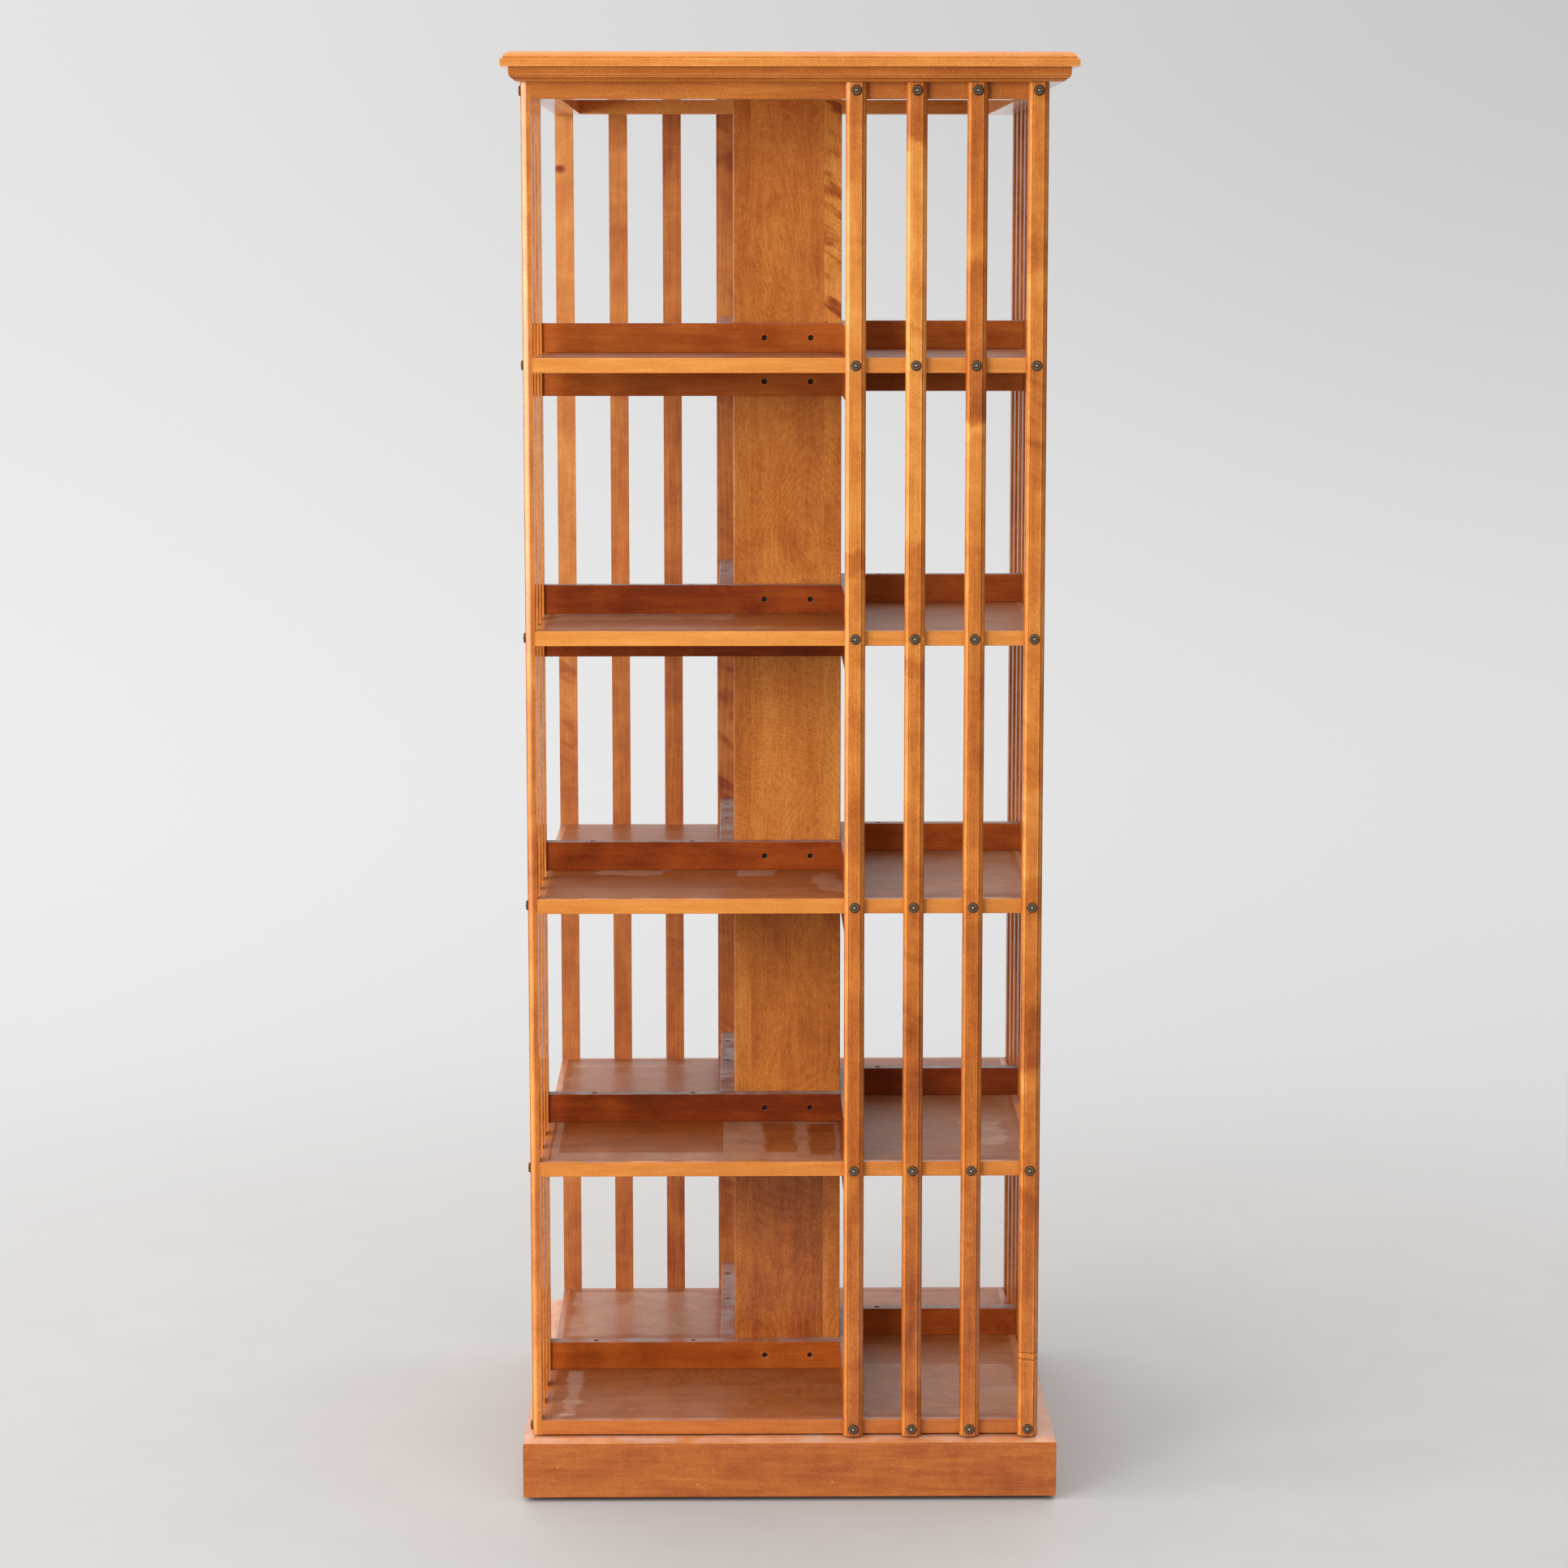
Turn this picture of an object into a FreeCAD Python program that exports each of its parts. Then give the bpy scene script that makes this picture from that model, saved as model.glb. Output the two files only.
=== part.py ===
"""Revolving bookcase, a FreeCAD macro.

A square case of five tiers turns on a ball-bearing turntable that is sunk into a low plinth.
Seen from above the case is a pinwheel: four book rails start at the corners of a hollow
column and run out to the four sides, so each tier has four compartments.

Frame: millimetres, +Z up, origin on the floor under the centre of the plinth.
The front of the case faces -Y.  Whatever repeats on the four sides is drawn for the front
and turned about Z by quarter turns: 0 front, 1 right, 2 back, 3 left.
"""
import FreeCAD, Part
import math
import os
import re
import Sketcher

SIDES = ("front", "right", "back", "left")
SHELVES = ("bottom_shelf", "shelf_1", "shelf_2", "shelf_3", "shelf_4")
SLATS_PER_SIDE = 4
LEVELS = len(SHELVES)

# Driving dimensions: alias, value in millimetres (or a plain count), meaning.
SIZES = (
    ("case_half", 280, "half the width of the case, over the shelf edges"),
    ("shelf_thickness", 16.5, "shelf boards and their edge strips"),
    ("shelf_pitch", 299, "underside of one shelf to underside of the next"),
    ("lipping_width", 8, "solid wood strip round each shelf board"),
    ("edge_ease", 0.8, "radius on edges that hands touch"),
    ("column_half", 62, "half the width of the hollow column"),
    ("column_board", 20, "thickness of the column's boards"),
    ("column_ease", 1.2, "radius on the column's corners"),
    ("rail_thickness", 17, "book rails"),
    ("rail_height", 33, "book rails"),
    ("slat_width", 22.5, "upright slats outside the shelves"),
    ("slat_thickness", 11, "upright slats outside the shelves"),
    ("slat_start", 9.65, "centre of the innermost slat, past the side of the column"),
    ("slat_side", 4.8, "flat part of a slat's side, next to the shelf"),
    ("slat_bevel", 4.4, "width of the bevel on a slat's front edges"),
    ("slat_quirk", 0.7, "small step between bevel and front face"),
    ("slat_end_gap", 0.3, "between a slat's top end and the cornice"),
    ("top_tier_height", 278, "top of the highest shelf to underside of the top frame"),
    ("frame_height", 18, "rails of the top frame"),
    ("frame_width", 32, "rails of the top frame"),
    ("cornice_height", 15.5, "moulding under the top board"),
    ("cornice_overhang", 22.5, "moulding beyond the case"),
    ("cornice_fascia", 9.2, "upright part of the moulding"),
    ("cornice_bevel", 6.8, "width of the bevel under the fascia"),
    ("cornice_step", 0.7, "width of each of the two small steps"),
    ("cornice_bead", 2.4, "height of the bead between the steps"),
    ("board_thickness", 16.5, "top board"),
    ("board_overhang", 31, "top board beyond the case"),
    ("board_edge", 8.5, "upright edge of the top board"),
    ("board_step", 3, "width of the step above that edge"),
    ("ovolo_width", 10, "rounded upper edge of the top board"),
    ("ovolo_height", 5.7, "rounded upper edge of the top board"),
    ("plinth_overhang", 21, "plinth beyond the case"),
    ("plinth_height", 61, "plinth boards"),
    ("plinth_board", 18, "thickness of the plinth boards"),
    ("moulding_rise", 4, "plinth moulding above the plinth boards"),
    ("moulding_depth", 6, "plinth moulding below their top, inside"),
    ("moulding_width", 61, "plinth moulding, outside to inside"),
    ("moulding_inset", 0.8, "plinth moulding behind the face of the boards"),
    ("moulding_margin", 6.5, "flat top of the plinth moulding outside the case"),
    ("moulding_drop", 2.2, "fall of the moulding's bevel"),
    ("moulding_quirk", 0.8, "groove between moulding and boards"),
    ("panel_thickness", 16, "panel that closes the plinth and carries the turntable"),
    ("block_width", 40, "corner blocks"),
    ("glide_radius", 15, "glides under the corner blocks"),
    ("glide_height", 5, "glides under the corner blocks"),
    ("glide_bevel", 1.2, "bevel round the foot of a glide"),
    ("pin_radius", 1.5, "nail of a glide"),
    ("pin_length", 18, "nail of a glide"),
    ("swivel_gap", 2, "air between the plinth and the turning case"),
    ("turntable_radius", 150, "outside of the turntable's plates"),
    ("turntable_bore", 105, "inside of the turntable's plates"),
    ("plate_thickness", 2, "turntable plates"),
    ("ball_count", 24, "balls in the turntable, a number without a unit"),
    ("ball_play", 0.3, "between a ball and each plate"),
    ("pocket_play", 0.2, "between a ball and its pocket in the cage"),
    ("cage_width", 13, "ball cage, inside to outside"),
    ("cage_thickness", 2, "ball cage"),
    ("plate_screw_inset", 7, "screw circles inside the edges of the plates"),
    ("plate_screw_radius", 1.6, "turntable screws"),
    ("plate_screw_length", 12, "turntable screws, under the head"),
    ("plate_screw_head", 3.2, "radius of the turntable screws' heads"),
    ("plate_screw_head_height", 1.9, "turntable screws"),
    ("hole_play", 0.1, "between any screw or nail and its hole"),
    ("screw_radius", 2, "rail screws"),
    ("screw_head", 3.2, "radius of the rail screws' heads"),
    ("screw_head_height", 2.2, "rail screws"),
    ("screw_sink", 5.5, "heads of the rail screws below the face of the rail"),
    ("screw_tip", 4, "length of the rail screws' points"),
    ("column_bite", 13, "rail screws in the column's boards"),
    ("shelf_bite", 7, "rail screws in the shelf boards"),
    ("column_screw_spacing", 53, "the two screws through a rail into the column"),
    ("shelf_screw_inset", 54, "outer shelf screw from the rail's outer end"),
    ("shelf_screw_spacing", 115, "the two screws through a rail into a shelf"),
    ("rosette_radius", 5.9, "heads of the slat nails"),
    ("rosette_height", 3.2, "heads of the slat nails"),
    ("rosette_rim", 0.9, "thickness of a nail head at its rim"),
    ("rosette_shoulder", 3.5, "radius where a nail head's crown begins"),
    ("rosette_shoulder_height", 2.2, "height where a nail head's crown begins"),
    ("rosette_crown", 1.5, "radius of the flat top of a nail head"),
    ("nail_radius", 1, "slat nails"),
    ("nail_length", 17.5, "slat nails, under the head"),
    ("overcut", 1, "how far a cutter's outline reaches past the wood"),
)
VALUES = {alias: number for alias, number, meaning in SIZES}

# Places that follow from the driving dimensions, written in their aliases.
PLINTH_HALF = "(case_half + plinth_overhang)"
PLINTH_INNER = f"({PLINTH_HALF} - plinth_board)"
PLINTH_TOP = "(glide_height + plinth_height)"
PANEL_TOP = f"({PLINTH_TOP} - moulding_depth)"
CASE_BASE = f"({PLINTH_TOP} + moulding_rise + swivel_gap)"
TURNTABLE_HEIGHT = "(moulding_depth + moulding_rise + swivel_gap)"
BALL_RADIUS = f"(({TURNTABLE_HEIGHT} - 2 * plate_thickness) / 2 - ball_play)"
FRAME_BASE = f"({CASE_BASE} + {LEVELS - 1} * shelf_pitch + shelf_thickness + top_tier_height)"
CORNICE_BASE = f"({FRAME_BASE} + frame_height)"
BOARD_BASE = f"({CORNICE_BASE} + cornice_height)"
BOARD_HALF = "(case_half + board_overhang)"
COLUMN_BASE = f"({CASE_BASE} + shelf_thickness)"
SLAT_FACE = "(case_half + slat_thickness)"
FIRST_SLAT = "(column_half + slat_start)"
SLAT_PITCH = f"((case_half - slat_width / 2 - {FIRST_SLAT}) / {SLATS_PER_SIDE - 1})"
RAIL_FACE = "(column_half + rail_thickness)"
RAIL_LINE = "(column_half + rail_thickness / 2)"
GLIDE_PLACE = f"({PLINTH_INNER} - block_width / 2)"

# Screws and nails: their places, their holes and how deep they bite.
BALL_LEVEL = f"({PANEL_TOP} + {TURNTABLE_HEIGHT} / 2)"
BALL_CIRCLE = "((turntable_radius + turntable_bore) / 2)"
LOWER_SCREWS = "(turntable_radius - plate_screw_inset)"
UPPER_SCREWS = "(turntable_bore + plate_screw_inset)"
PLATE_HOLE = "(plate_screw_radius + hole_play)"
PLATE_BITE = "(plate_screw_length - plate_thickness)"
OUTER_SHELF_SCREW = "(case_half - shelf_screw_inset)"
INNER_SHELF_SCREW = f"({OUTER_SHELF_SCREW} - shelf_screw_spacing)"
UPPER_RAIL_SCREW = "(rail_height / 2)"
LOWER_RAIL_SCREW = "(shelf_pitch - shelf_thickness - rail_height / 2)"
RAIL_SCREW_HOLE = "(screw_radius + hole_play)"
COUNTERBORE = "(screw_sink + screw_head_height)"
NAIL_HOLE = "(nail_radius + hole_play)"
SHELF_NAIL = "(shelf_thickness / 2)"
FRAME_NAIL = f"({FRAME_BASE} - {CASE_BASE} + frame_height / 2)"

doc = FreeCAD.newDocument("RevolvingBookcase")
sheet = doc.addObject("Spreadsheet::Sheet", "Sizes")
nodes = []


# ---------------------------------------------------------------- sheet and expressions

def fill_sheet():
    """One row per driving dimension: meaning, value and alias."""
    for row, (alias, number, meaning) in enumerate(SIZES, start=1):
        sheet.set(f"A{row}", meaning)
        sheet.set(f"B{row}", str(number))
        sheet.setAlias(f"B{row}", alias)
    doc.recompute()


def in_sheet(text):
    """An expression in aliases, with each alias pointed at the sheet."""
    def point_at_sheet(word):
        name = word.group()
        return f"Sizes.{name}" if name in VALUES else name
    return re.sub(r"[a-z_]+", point_at_sheet, text)


def bind(item, prop, text):
    item.setExpression(prop, in_sheet(text))


def turned(x, y, turns):
    """The expressions of a point after quarter turns about Z."""
    return ((x, y), (f"-({y})", x), (f"-({x})", f"-({y})"), (y, f"-({x})"))[turns]


def place(item, x="0", y="0", z="0", turns=0):
    """Put an object at (x, y, z) as drawn for the front, then turn it to its own side."""
    item.Placement = FreeCAD.Placement(FreeCAD.Vector(),
                                       FreeCAD.Rotation(FreeCAD.Vector(0, 0, 1), 90 * turns))
    turned_x, turned_y = turned(x, y, turns)
    for axis, text in (("x", turned_x), ("y", turned_y), ("z", z)):
        bind(item, f"Placement.Base.{axis}", text)


# ---------------------------------------------------------------- sketches and features

def start_body(name, node=True, **where):
    """A new Body at its place; a node is exported, anything else is only a pattern for one."""
    body = doc.addObject("PartDesign::Body", name)
    body.Label = name
    place(body, **where)
    if node:
        nodes.append(body)
    return body


def origin_feature(body, role):
    return next(item for item in body.Origin.OriginFeatures if item.Role == role)


def add_sketch(body, role, offset="0"):
    """A sketch on one of the body's own origin planes, moved along its normal by offset."""
    sketch = body.newObject("Sketcher::SketchObject", f"{body.Label}_sketch")
    sketch.AttachmentSupport = (origin_feature(body, role), [""])
    sketch.MapMode = "FlatFace"
    bind(sketch, "AttachmentOffset.Base.z", offset)
    return sketch


def pin_point(sketch, geometry, position, x, y, start):
    """Hold a point of the sketch at (x, y) from its origin."""
    for kind, text, guess in (("DistanceX", x, start.x), ("DistanceY", y, start.y)):
        number = sketch.addConstraint(Sketcher.Constraint(kind, -1, 1, geometry, position, guess))
        bind(sketch, f"Constraints[{number}]", text)


def add_outline(sketch, corners):
    """A closed outline of straight lines through the corners, given as expressions."""
    count = len(corners)
    first = sketch.GeometryCount
    guesses = [FreeCAD.Vector(math.cos(2 * math.pi * i / count), math.sin(2 * math.pi * i / count))
               for i in range(count)]
    for i in range(count):
        sketch.addGeometry(Part.LineSegment(guesses[i], guesses[(i + 1) % count]))
    for i in range(count):
        following = first + (i + 1) % count
        sketch.addConstraint(Sketcher.Constraint("Coincident", first + i, 2, following, 1))
        pin_point(sketch, first + i, 1, *corners[i], guesses[i])


def add_rectangle(sketch, x_low, x_high, y_low, y_high):
    add_outline(sketch, ((x_low, y_low), (x_high, y_low), (x_high, y_high), (x_low, y_high)))


def add_square(sketch, half):
    add_rectangle(sketch, f"-{half}", half, f"-{half}", half)


def add_circle(sketch, x, y, radius):
    centre = FreeCAD.Vector(1, 1)
    number = sketch.addGeometry(Part.Circle(centre, FreeCAD.Vector(0, 0, 1), 1))
    pin_point(sketch, number, 3, x, y, centre)
    size = sketch.addConstraint(Sketcher.Constraint("Radius", number, 1))
    bind(sketch, f"Constraints[{size}]", radius)


def add_axis(sketch, start, end):
    """A construction line between two points, for a revolution to turn about."""
    guesses = (FreeCAD.Vector(0, 0), FreeCAD.Vector(1, 1))
    number = sketch.addGeometry(Part.LineSegment(*guesses), True)
    pin_point(sketch, number, 1, *start, guesses[0])
    pin_point(sketch, number, 2, *end, guesses[1])


def pad(body, sketch, length, symmetric=False, reverse=False):
    feature = body.newObject("PartDesign::Pad", f"{body.Label}_pad")
    feature.Profile = sketch
    feature.Reversed = reverse
    if symmetric:
        feature.SideType = "Symmetric"
    bind(feature, "Length", length)
    doc.recompute()
    return feature


def pocket(body, sketch, depth=None, reverse=False, symmetric=False):
    """Cut the sketch into the body; without a depth it goes right through."""
    feature = body.newObject("PartDesign::Pocket", f"{body.Label}_pocket")
    feature.Profile = sketch
    feature.Reversed = reverse
    if symmetric:
        feature.SideType = "Symmetric"
    if depth is None:
        feature.Type = "ThroughAll"
    else:
        bind(feature, "Length", depth)
    return feature


def revolve(body, sketch):
    """Turn the sketch once round its own construction line."""
    feature = body.newObject("PartDesign::Revolution", f"{body.Label}_revolution")
    feature.Profile = sketch
    feature.ReferenceAxis = (sketch, ["Axis0"])
    feature.Angle = 360
    return feature


def repeat(body, kind, originals):
    """A pattern of the given features, or of the whole body where none is given."""
    pattern = body.newObject(f"PartDesign::{kind}Pattern", f"{body.Label}_{kind.lower()}")
    if originals:
        pattern.Originals = originals
    else:
        pattern.TransformMode = "Whole shape"
    body.Tip = pattern
    return pattern


def round_pattern(body, originals=(), count="4"):
    """Copies evenly spaced about Z."""
    pattern = repeat(body, "Polar", originals)
    pattern.Axis = (origin_feature(body, "Z_Axis"), [""])
    pattern.Angle = 360
    bind(pattern, "Occurrences", count)


def straight_pattern(body, originals, role, spacing, count):
    """Copies along one of the origin's axes."""
    pattern = repeat(body, "Linear", originals)
    pattern.Direction = (origin_feature(body, role), [""])
    pattern.Mode = "Spacing"
    pattern.Occurrences = count
    bind(pattern, "Offset", spacing)


def ease(body, base, radius, chosen, axis="xyz"):
    """Round the straight edges of base along an axis whose two ends both pass the test."""
    edges = []
    for number, edge in enumerate(base.Shape.Edges, start=1):
        ends = [vertex.Point for vertex in edge.Vertexes]
        if len(ends) == 2 and all(chosen(point) for point in ends):
            across = [name for name in "xyz" if not near(getattr(ends[0], name),
                                                         getattr(ends[1], name))]
            if len(across) == 1 and across[0] in axis:
                edges.append(f"Edge{number}")
    fillet = body.newObject("PartDesign::Fillet", f"{body.Label}_ease")
    fillet.Base = (base, edges)
    bind(fillet, "Radius", radius)
    doc.recompute()
    return fillet


def near(first, second):
    return abs(first - second) < 1e-4


def add_group(name, copies):
    """One node of several solids: each copy is (pattern body, place)."""
    links = []
    for number, (pattern, where) in enumerate(copies, start=1):
        link = doc.addObject("App::Link", f"{name}_{number}")
        link.LinkedObject = pattern
        link.LinkTransform = False
        place(link, **where)
        links.append(link)
    group = doc.addObject("Part::Compound", name)
    group.Label = name
    group.Links = links
    nodes.append(group)


def add_ring_of_four(name, pattern, **where):
    add_group(name, [(pattern, dict(where, turns=turns)) for turns in range(len(SIDES))])


def level(number):
    """The underside of a shelf, counted from the bottom shelf, 0."""
    return f"({CASE_BASE} + {number} * shelf_pitch)"


# ---------------------------------------------------------------- lengths with mitred ends

def mitred_length(name, profile, outer, inner):
    """A length of moulding for the front, from a profile of (y, z), mitred at both ends."""
    body = start_body(name, node=False)
    sketch = add_sketch(body, "YZ_Plane")
    add_outline(sketch, profile)
    pad(body, sketch, f"2 * {outer}", symmetric=True)
    beyond = f"({outer} + overcut)"
    waste = add_sketch(body, "XY_Plane")
    for side in ("", "-"):
        add_outline(waste, ((f"{side}{inner}", f"-{inner}"), (f"{side}{beyond}", f"-{beyond}"),
                            (f"{side}{beyond}", f"-{inner}")))
    pocket(body, waste, symmetric=True)
    doc.recompute()
    return body


def mitred_board(name, outer, thickness, height, node, **where):
    """A board on edge along the front, mitred at both ends."""
    body = start_body(name, node=node, **where)
    inner = f"({outer} - {thickness})"
    sketch = add_sketch(body, "XY_Plane")
    add_outline(sketch, ((f"-{outer}", f"-{outer}"), (outer, f"-{outer}"),
                         (inner, f"-{inner}"), (f"-{inner}", f"-{inner}")))
    return body, pad(body, sketch, height)


# ---------------------------------------------------------------- plinth

def make_plinth_boards():
    for turns, side in enumerate(SIDES):
        body, board = mitred_board(f"plinth_{side}", PLINTH_HALF, "plinth_board",
                                   "plinth_height", True, z="glide_height", turns=turns)
        face = VALUES["case_half"] + VALUES["plinth_overhang"]
        height = VALUES["plinth_height"]
        ease(body, board, "edge_ease",
             lambda point: near(point.y, -face) and (near(point.z, 0) or near(point.z, height)),
             axis="x")


def make_plinth_moulding():
    """A mitred frame, rebated over the boards, with a bevelled margin round the case."""
    face = f"-({PLINTH_HALF} - moulding_inset)"
    inner = f"({PLINTH_HALF} - moulding_width)"
    bevel_foot = "(moulding_rise - moulding_drop)"
    profile = ((face, bevel_foot),
               (face, "moulding_quirk"),
               (f"{face} + moulding_quirk", "moulding_quirk"),
               (f"{face} + moulding_quirk", "0"),
               (f"-{PLINTH_INNER}", "0"),
               (f"-{PLINTH_INNER}", "-moulding_depth"),
               (f"-{inner}", "-moulding_depth"),
               (f"-{inner}", "moulding_rise"),
               ("-(case_half + moulding_margin)", "moulding_rise"))
    pattern = mitred_length("moulding_length", profile, PLINTH_HALF,
                            f"({inner} - overcut)")
    add_ring_of_four("plinth_moulding", pattern, z=PLINTH_TOP)


def make_plinth_panel():
    body = start_body("plinth_panel", z=f"{PANEL_TOP} - panel_thickness")
    outline = add_sketch(body, "XY_Plane")
    add_square(outline, PLINTH_INNER)
    pad(body, outline, "panel_thickness")
    holes = add_sketch(body, "XY_Plane", "panel_thickness")
    add_circle(holes, LOWER_SCREWS, "0", PLATE_HOLE)
    round_pattern(body, [pocket(body, holes, f"{PLATE_BITE} + hole_play")])


def make_corner_blocks():
    body = start_body("plinth_corner_blocks", z="glide_height")
    block = add_sketch(body, "XY_Plane")
    add_rectangle(block, f"-{PLINTH_INNER}", f"-{PLINTH_INNER} + block_width",
                  f"-{PLINTH_INNER}", f"-{PLINTH_INNER} + block_width")
    solid = pad(body, block, "plinth_height - moulding_depth - panel_thickness")
    nail = add_sketch(body, "XY_Plane")
    add_circle(nail, f"-{GLIDE_PLACE}", f"-{GLIDE_PLACE}", "pin_radius + hole_play")
    hole = pocket(body, nail, "pin_length + hole_play", reverse=True)
    round_pattern(body, [solid, hole])


def make_glides():
    """A bevelled disc with a nail that goes up into the corner block."""
    body = start_body("plinth_glides")
    half = add_sketch(body, "XZ_Plane", GLIDE_PLACE)
    centre = f"-{GLIDE_PLACE}"
    add_outline(half, ((centre, "0"),
                       (f"{centre} + glide_radius - glide_bevel", "0"),
                       (f"{centre} + glide_radius", "glide_bevel"),
                       (f"{centre} + glide_radius", "glide_height"),
                       (f"{centre} + pin_radius", "glide_height"),
                       (f"{centre} + pin_radius", "glide_height + pin_length - pin_radius"),
                       (centre, "glide_height + pin_length")))
    add_axis(half, (centre, "0"), (centre, "glide_height"))
    round_pattern(body, [revolve(body, half)])


# ---------------------------------------------------------------- turntable

def make_plate(name, z, screw_circle):
    body = start_body(name, z=z)
    ring = add_sketch(body, "XY_Plane")
    add_circle(ring, "0", "0", "turntable_radius")
    add_circle(ring, "0", "0", "turntable_bore")
    pad(body, ring, "plate_thickness")
    hole = add_sketch(body, "XY_Plane")
    add_circle(hole, screw_circle, "0", PLATE_HOLE)
    round_pattern(body, [pocket(body, hole, reverse=True)])


def make_plate_screws(name, z, screw_circle, upward):
    """Pan-head screws; z is the face of the plate that the heads bear on."""
    body = start_body(name, z=z)
    sign, away = ("", "-") if upward else ("-", "")
    half = add_sketch(body, "XZ_Plane")
    add_outline(half, ((screw_circle, f"{away}plate_screw_head_height"),
                       (f"{screw_circle} + plate_screw_head", f"{away}plate_screw_head_height"),
                       (f"{screw_circle} + plate_screw_head", "0"),
                       (f"{screw_circle} + plate_screw_radius", "0"),
                       (f"{screw_circle} + plate_screw_radius",
                        f"{sign}(plate_screw_length - plate_screw_radius)"),
                       (screw_circle, f"{sign}plate_screw_length")))
    add_axis(half, (screw_circle, "0"), (screw_circle, "plate_screw_length"))
    round_pattern(body, [revolve(body, half)])


def make_balls_and_cage():
    balls = start_body("turntable_balls", z=BALL_LEVEL)
    ball = balls.newObject("PartDesign::AdditiveSphere", "turntable_ball")
    ball.AttachmentSupport = (origin_feature(balls, "XY_Plane"), [""])
    ball.MapMode = "FlatFace"
    bind(ball, "AttachmentOffset.Base.x", BALL_CIRCLE)
    bind(ball, "Radius", BALL_RADIUS)
    round_pattern(balls, [ball], "ball_count")

    cage = start_body("turntable_cage", z=f"{BALL_LEVEL} - cage_thickness / 2")
    ring = add_sketch(cage, "XY_Plane")
    add_circle(ring, "0", "0", f"{BALL_CIRCLE} + cage_width / 2")
    add_circle(ring, "0", "0", f"{BALL_CIRCLE} - cage_width / 2")
    pad(cage, ring, "cage_thickness")
    hole = add_sketch(cage, "XY_Plane")
    add_circle(hole, BALL_CIRCLE, "0", f"{BALL_RADIUS} + pocket_play")
    round_pattern(cage, [pocket(cage, hole, reverse=True)], "ball_count")


def make_turntable():
    lower_top = f"({PANEL_TOP} + plate_thickness)"
    upper_base = f"({CASE_BASE} - plate_thickness)"
    make_plate("turntable_lower_plate", PANEL_TOP, LOWER_SCREWS)
    make_plate("turntable_upper_plate", upper_base, UPPER_SCREWS)
    make_plate_screws("turntable_lower_screws", lower_top, LOWER_SCREWS, upward=False)
    make_plate_screws("turntable_upper_screws", upper_base, UPPER_SCREWS, upward=True)
    make_balls_and_cage()


# ---------------------------------------------------------------- shelves

def drill_shelf(body, height, reverse):
    """Pilot holes for the rails' upright screws, from one face of a shelf board."""
    holes = add_sketch(body, "XY_Plane", height)
    for place_along in (OUTER_SHELF_SCREW, INNER_SHELF_SCREW):
        add_circle(holes, f"-{place_along}", f"-{RAIL_LINE}", RAIL_SCREW_HOLE)
    round_pattern(body, [pocket(body, holes, "shelf_bite + hole_play", reverse=reverse)])


def make_shelf_boards():
    for number, name in enumerate(SHELVES):
        body = start_body(name, z=level(number))
        board = add_sketch(body, "XY_Plane")
        add_square(board, "(case_half - lipping_width)")
        if number > 0:
            add_square(board, "column_half")
        pad(body, board, "shelf_thickness")
        drill_shelf(body, "shelf_thickness", reverse=False)
        if number > 0:
            drill_shelf(body, "0", reverse=True)
        else:
            holes = add_sketch(body, "XY_Plane")
            add_circle(holes, UPPER_SCREWS, "0", PLATE_HOLE)
            round_pattern(body, [pocket(body, holes, f"{PLATE_BITE} + hole_play", reverse=True)])


def make_lippings():
    """Mitred edge strips, nailed through by the slats' nails."""
    body, strip = mitred_board("lipping_length", "case_half", "lipping_width",
                               "shelf_thickness", False)
    face = VALUES["case_half"]
    ease(body, strip, "edge_ease", lambda point: near(point.y, -face), axis="x")
    holes = add_sketch(body, "XZ_Plane")
    add_circle(holes, FIRST_SLAT, "shelf_thickness / 2", NAIL_HOLE)
    straight_pattern(body, [pocket(body, holes, symmetric=True)], "X_Axis", SLAT_PITCH,
                     SLATS_PER_SIDE)
    doc.recompute()
    for number, name in enumerate(SHELVES):
        add_ring_of_four(f"{name}_lipping", body, z=level(number))


# ---------------------------------------------------------------- column

def make_column():
    """Two side boards with a narrower board glued between them at front and back."""
    half_widths = ("(column_half - column_board)", "column_half") * 2
    for turns, (side, half) in enumerate(zip(SIDES, half_widths)):
        body = start_body(f"column_{side}", z=COLUMN_BASE, turns=turns)
        section = add_sketch(body, "XY_Plane")
        add_rectangle(section, f"-{half}", half, "-column_half", "-(column_half - column_board)")
        board = pad(body, section, f"{BOARD_BASE} - {COLUMN_BASE}")
        corner = VALUES["column_half"]
        if half == "column_half":
            ease(body, board, "column_ease", lambda point: near(point.y, -corner), axis="z")
        for first, count in ((UPPER_RAIL_SCREW, LEVELS), (LOWER_RAIL_SCREW, LEVELS - 1)):
            holes = add_sketch(body, "XZ_Plane", "column_half")
            for sign in ("", "-"):
                add_circle(holes, f"{sign}column_screw_spacing / 2", first, RAIL_SCREW_HOLE)
            drilled = pocket(body, holes, "column_bite + hole_play")
            straight_pattern(body, [drilled], "Z_Axis", "shelf_pitch", count)


# ---------------------------------------------------------------- book rails and screws

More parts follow.
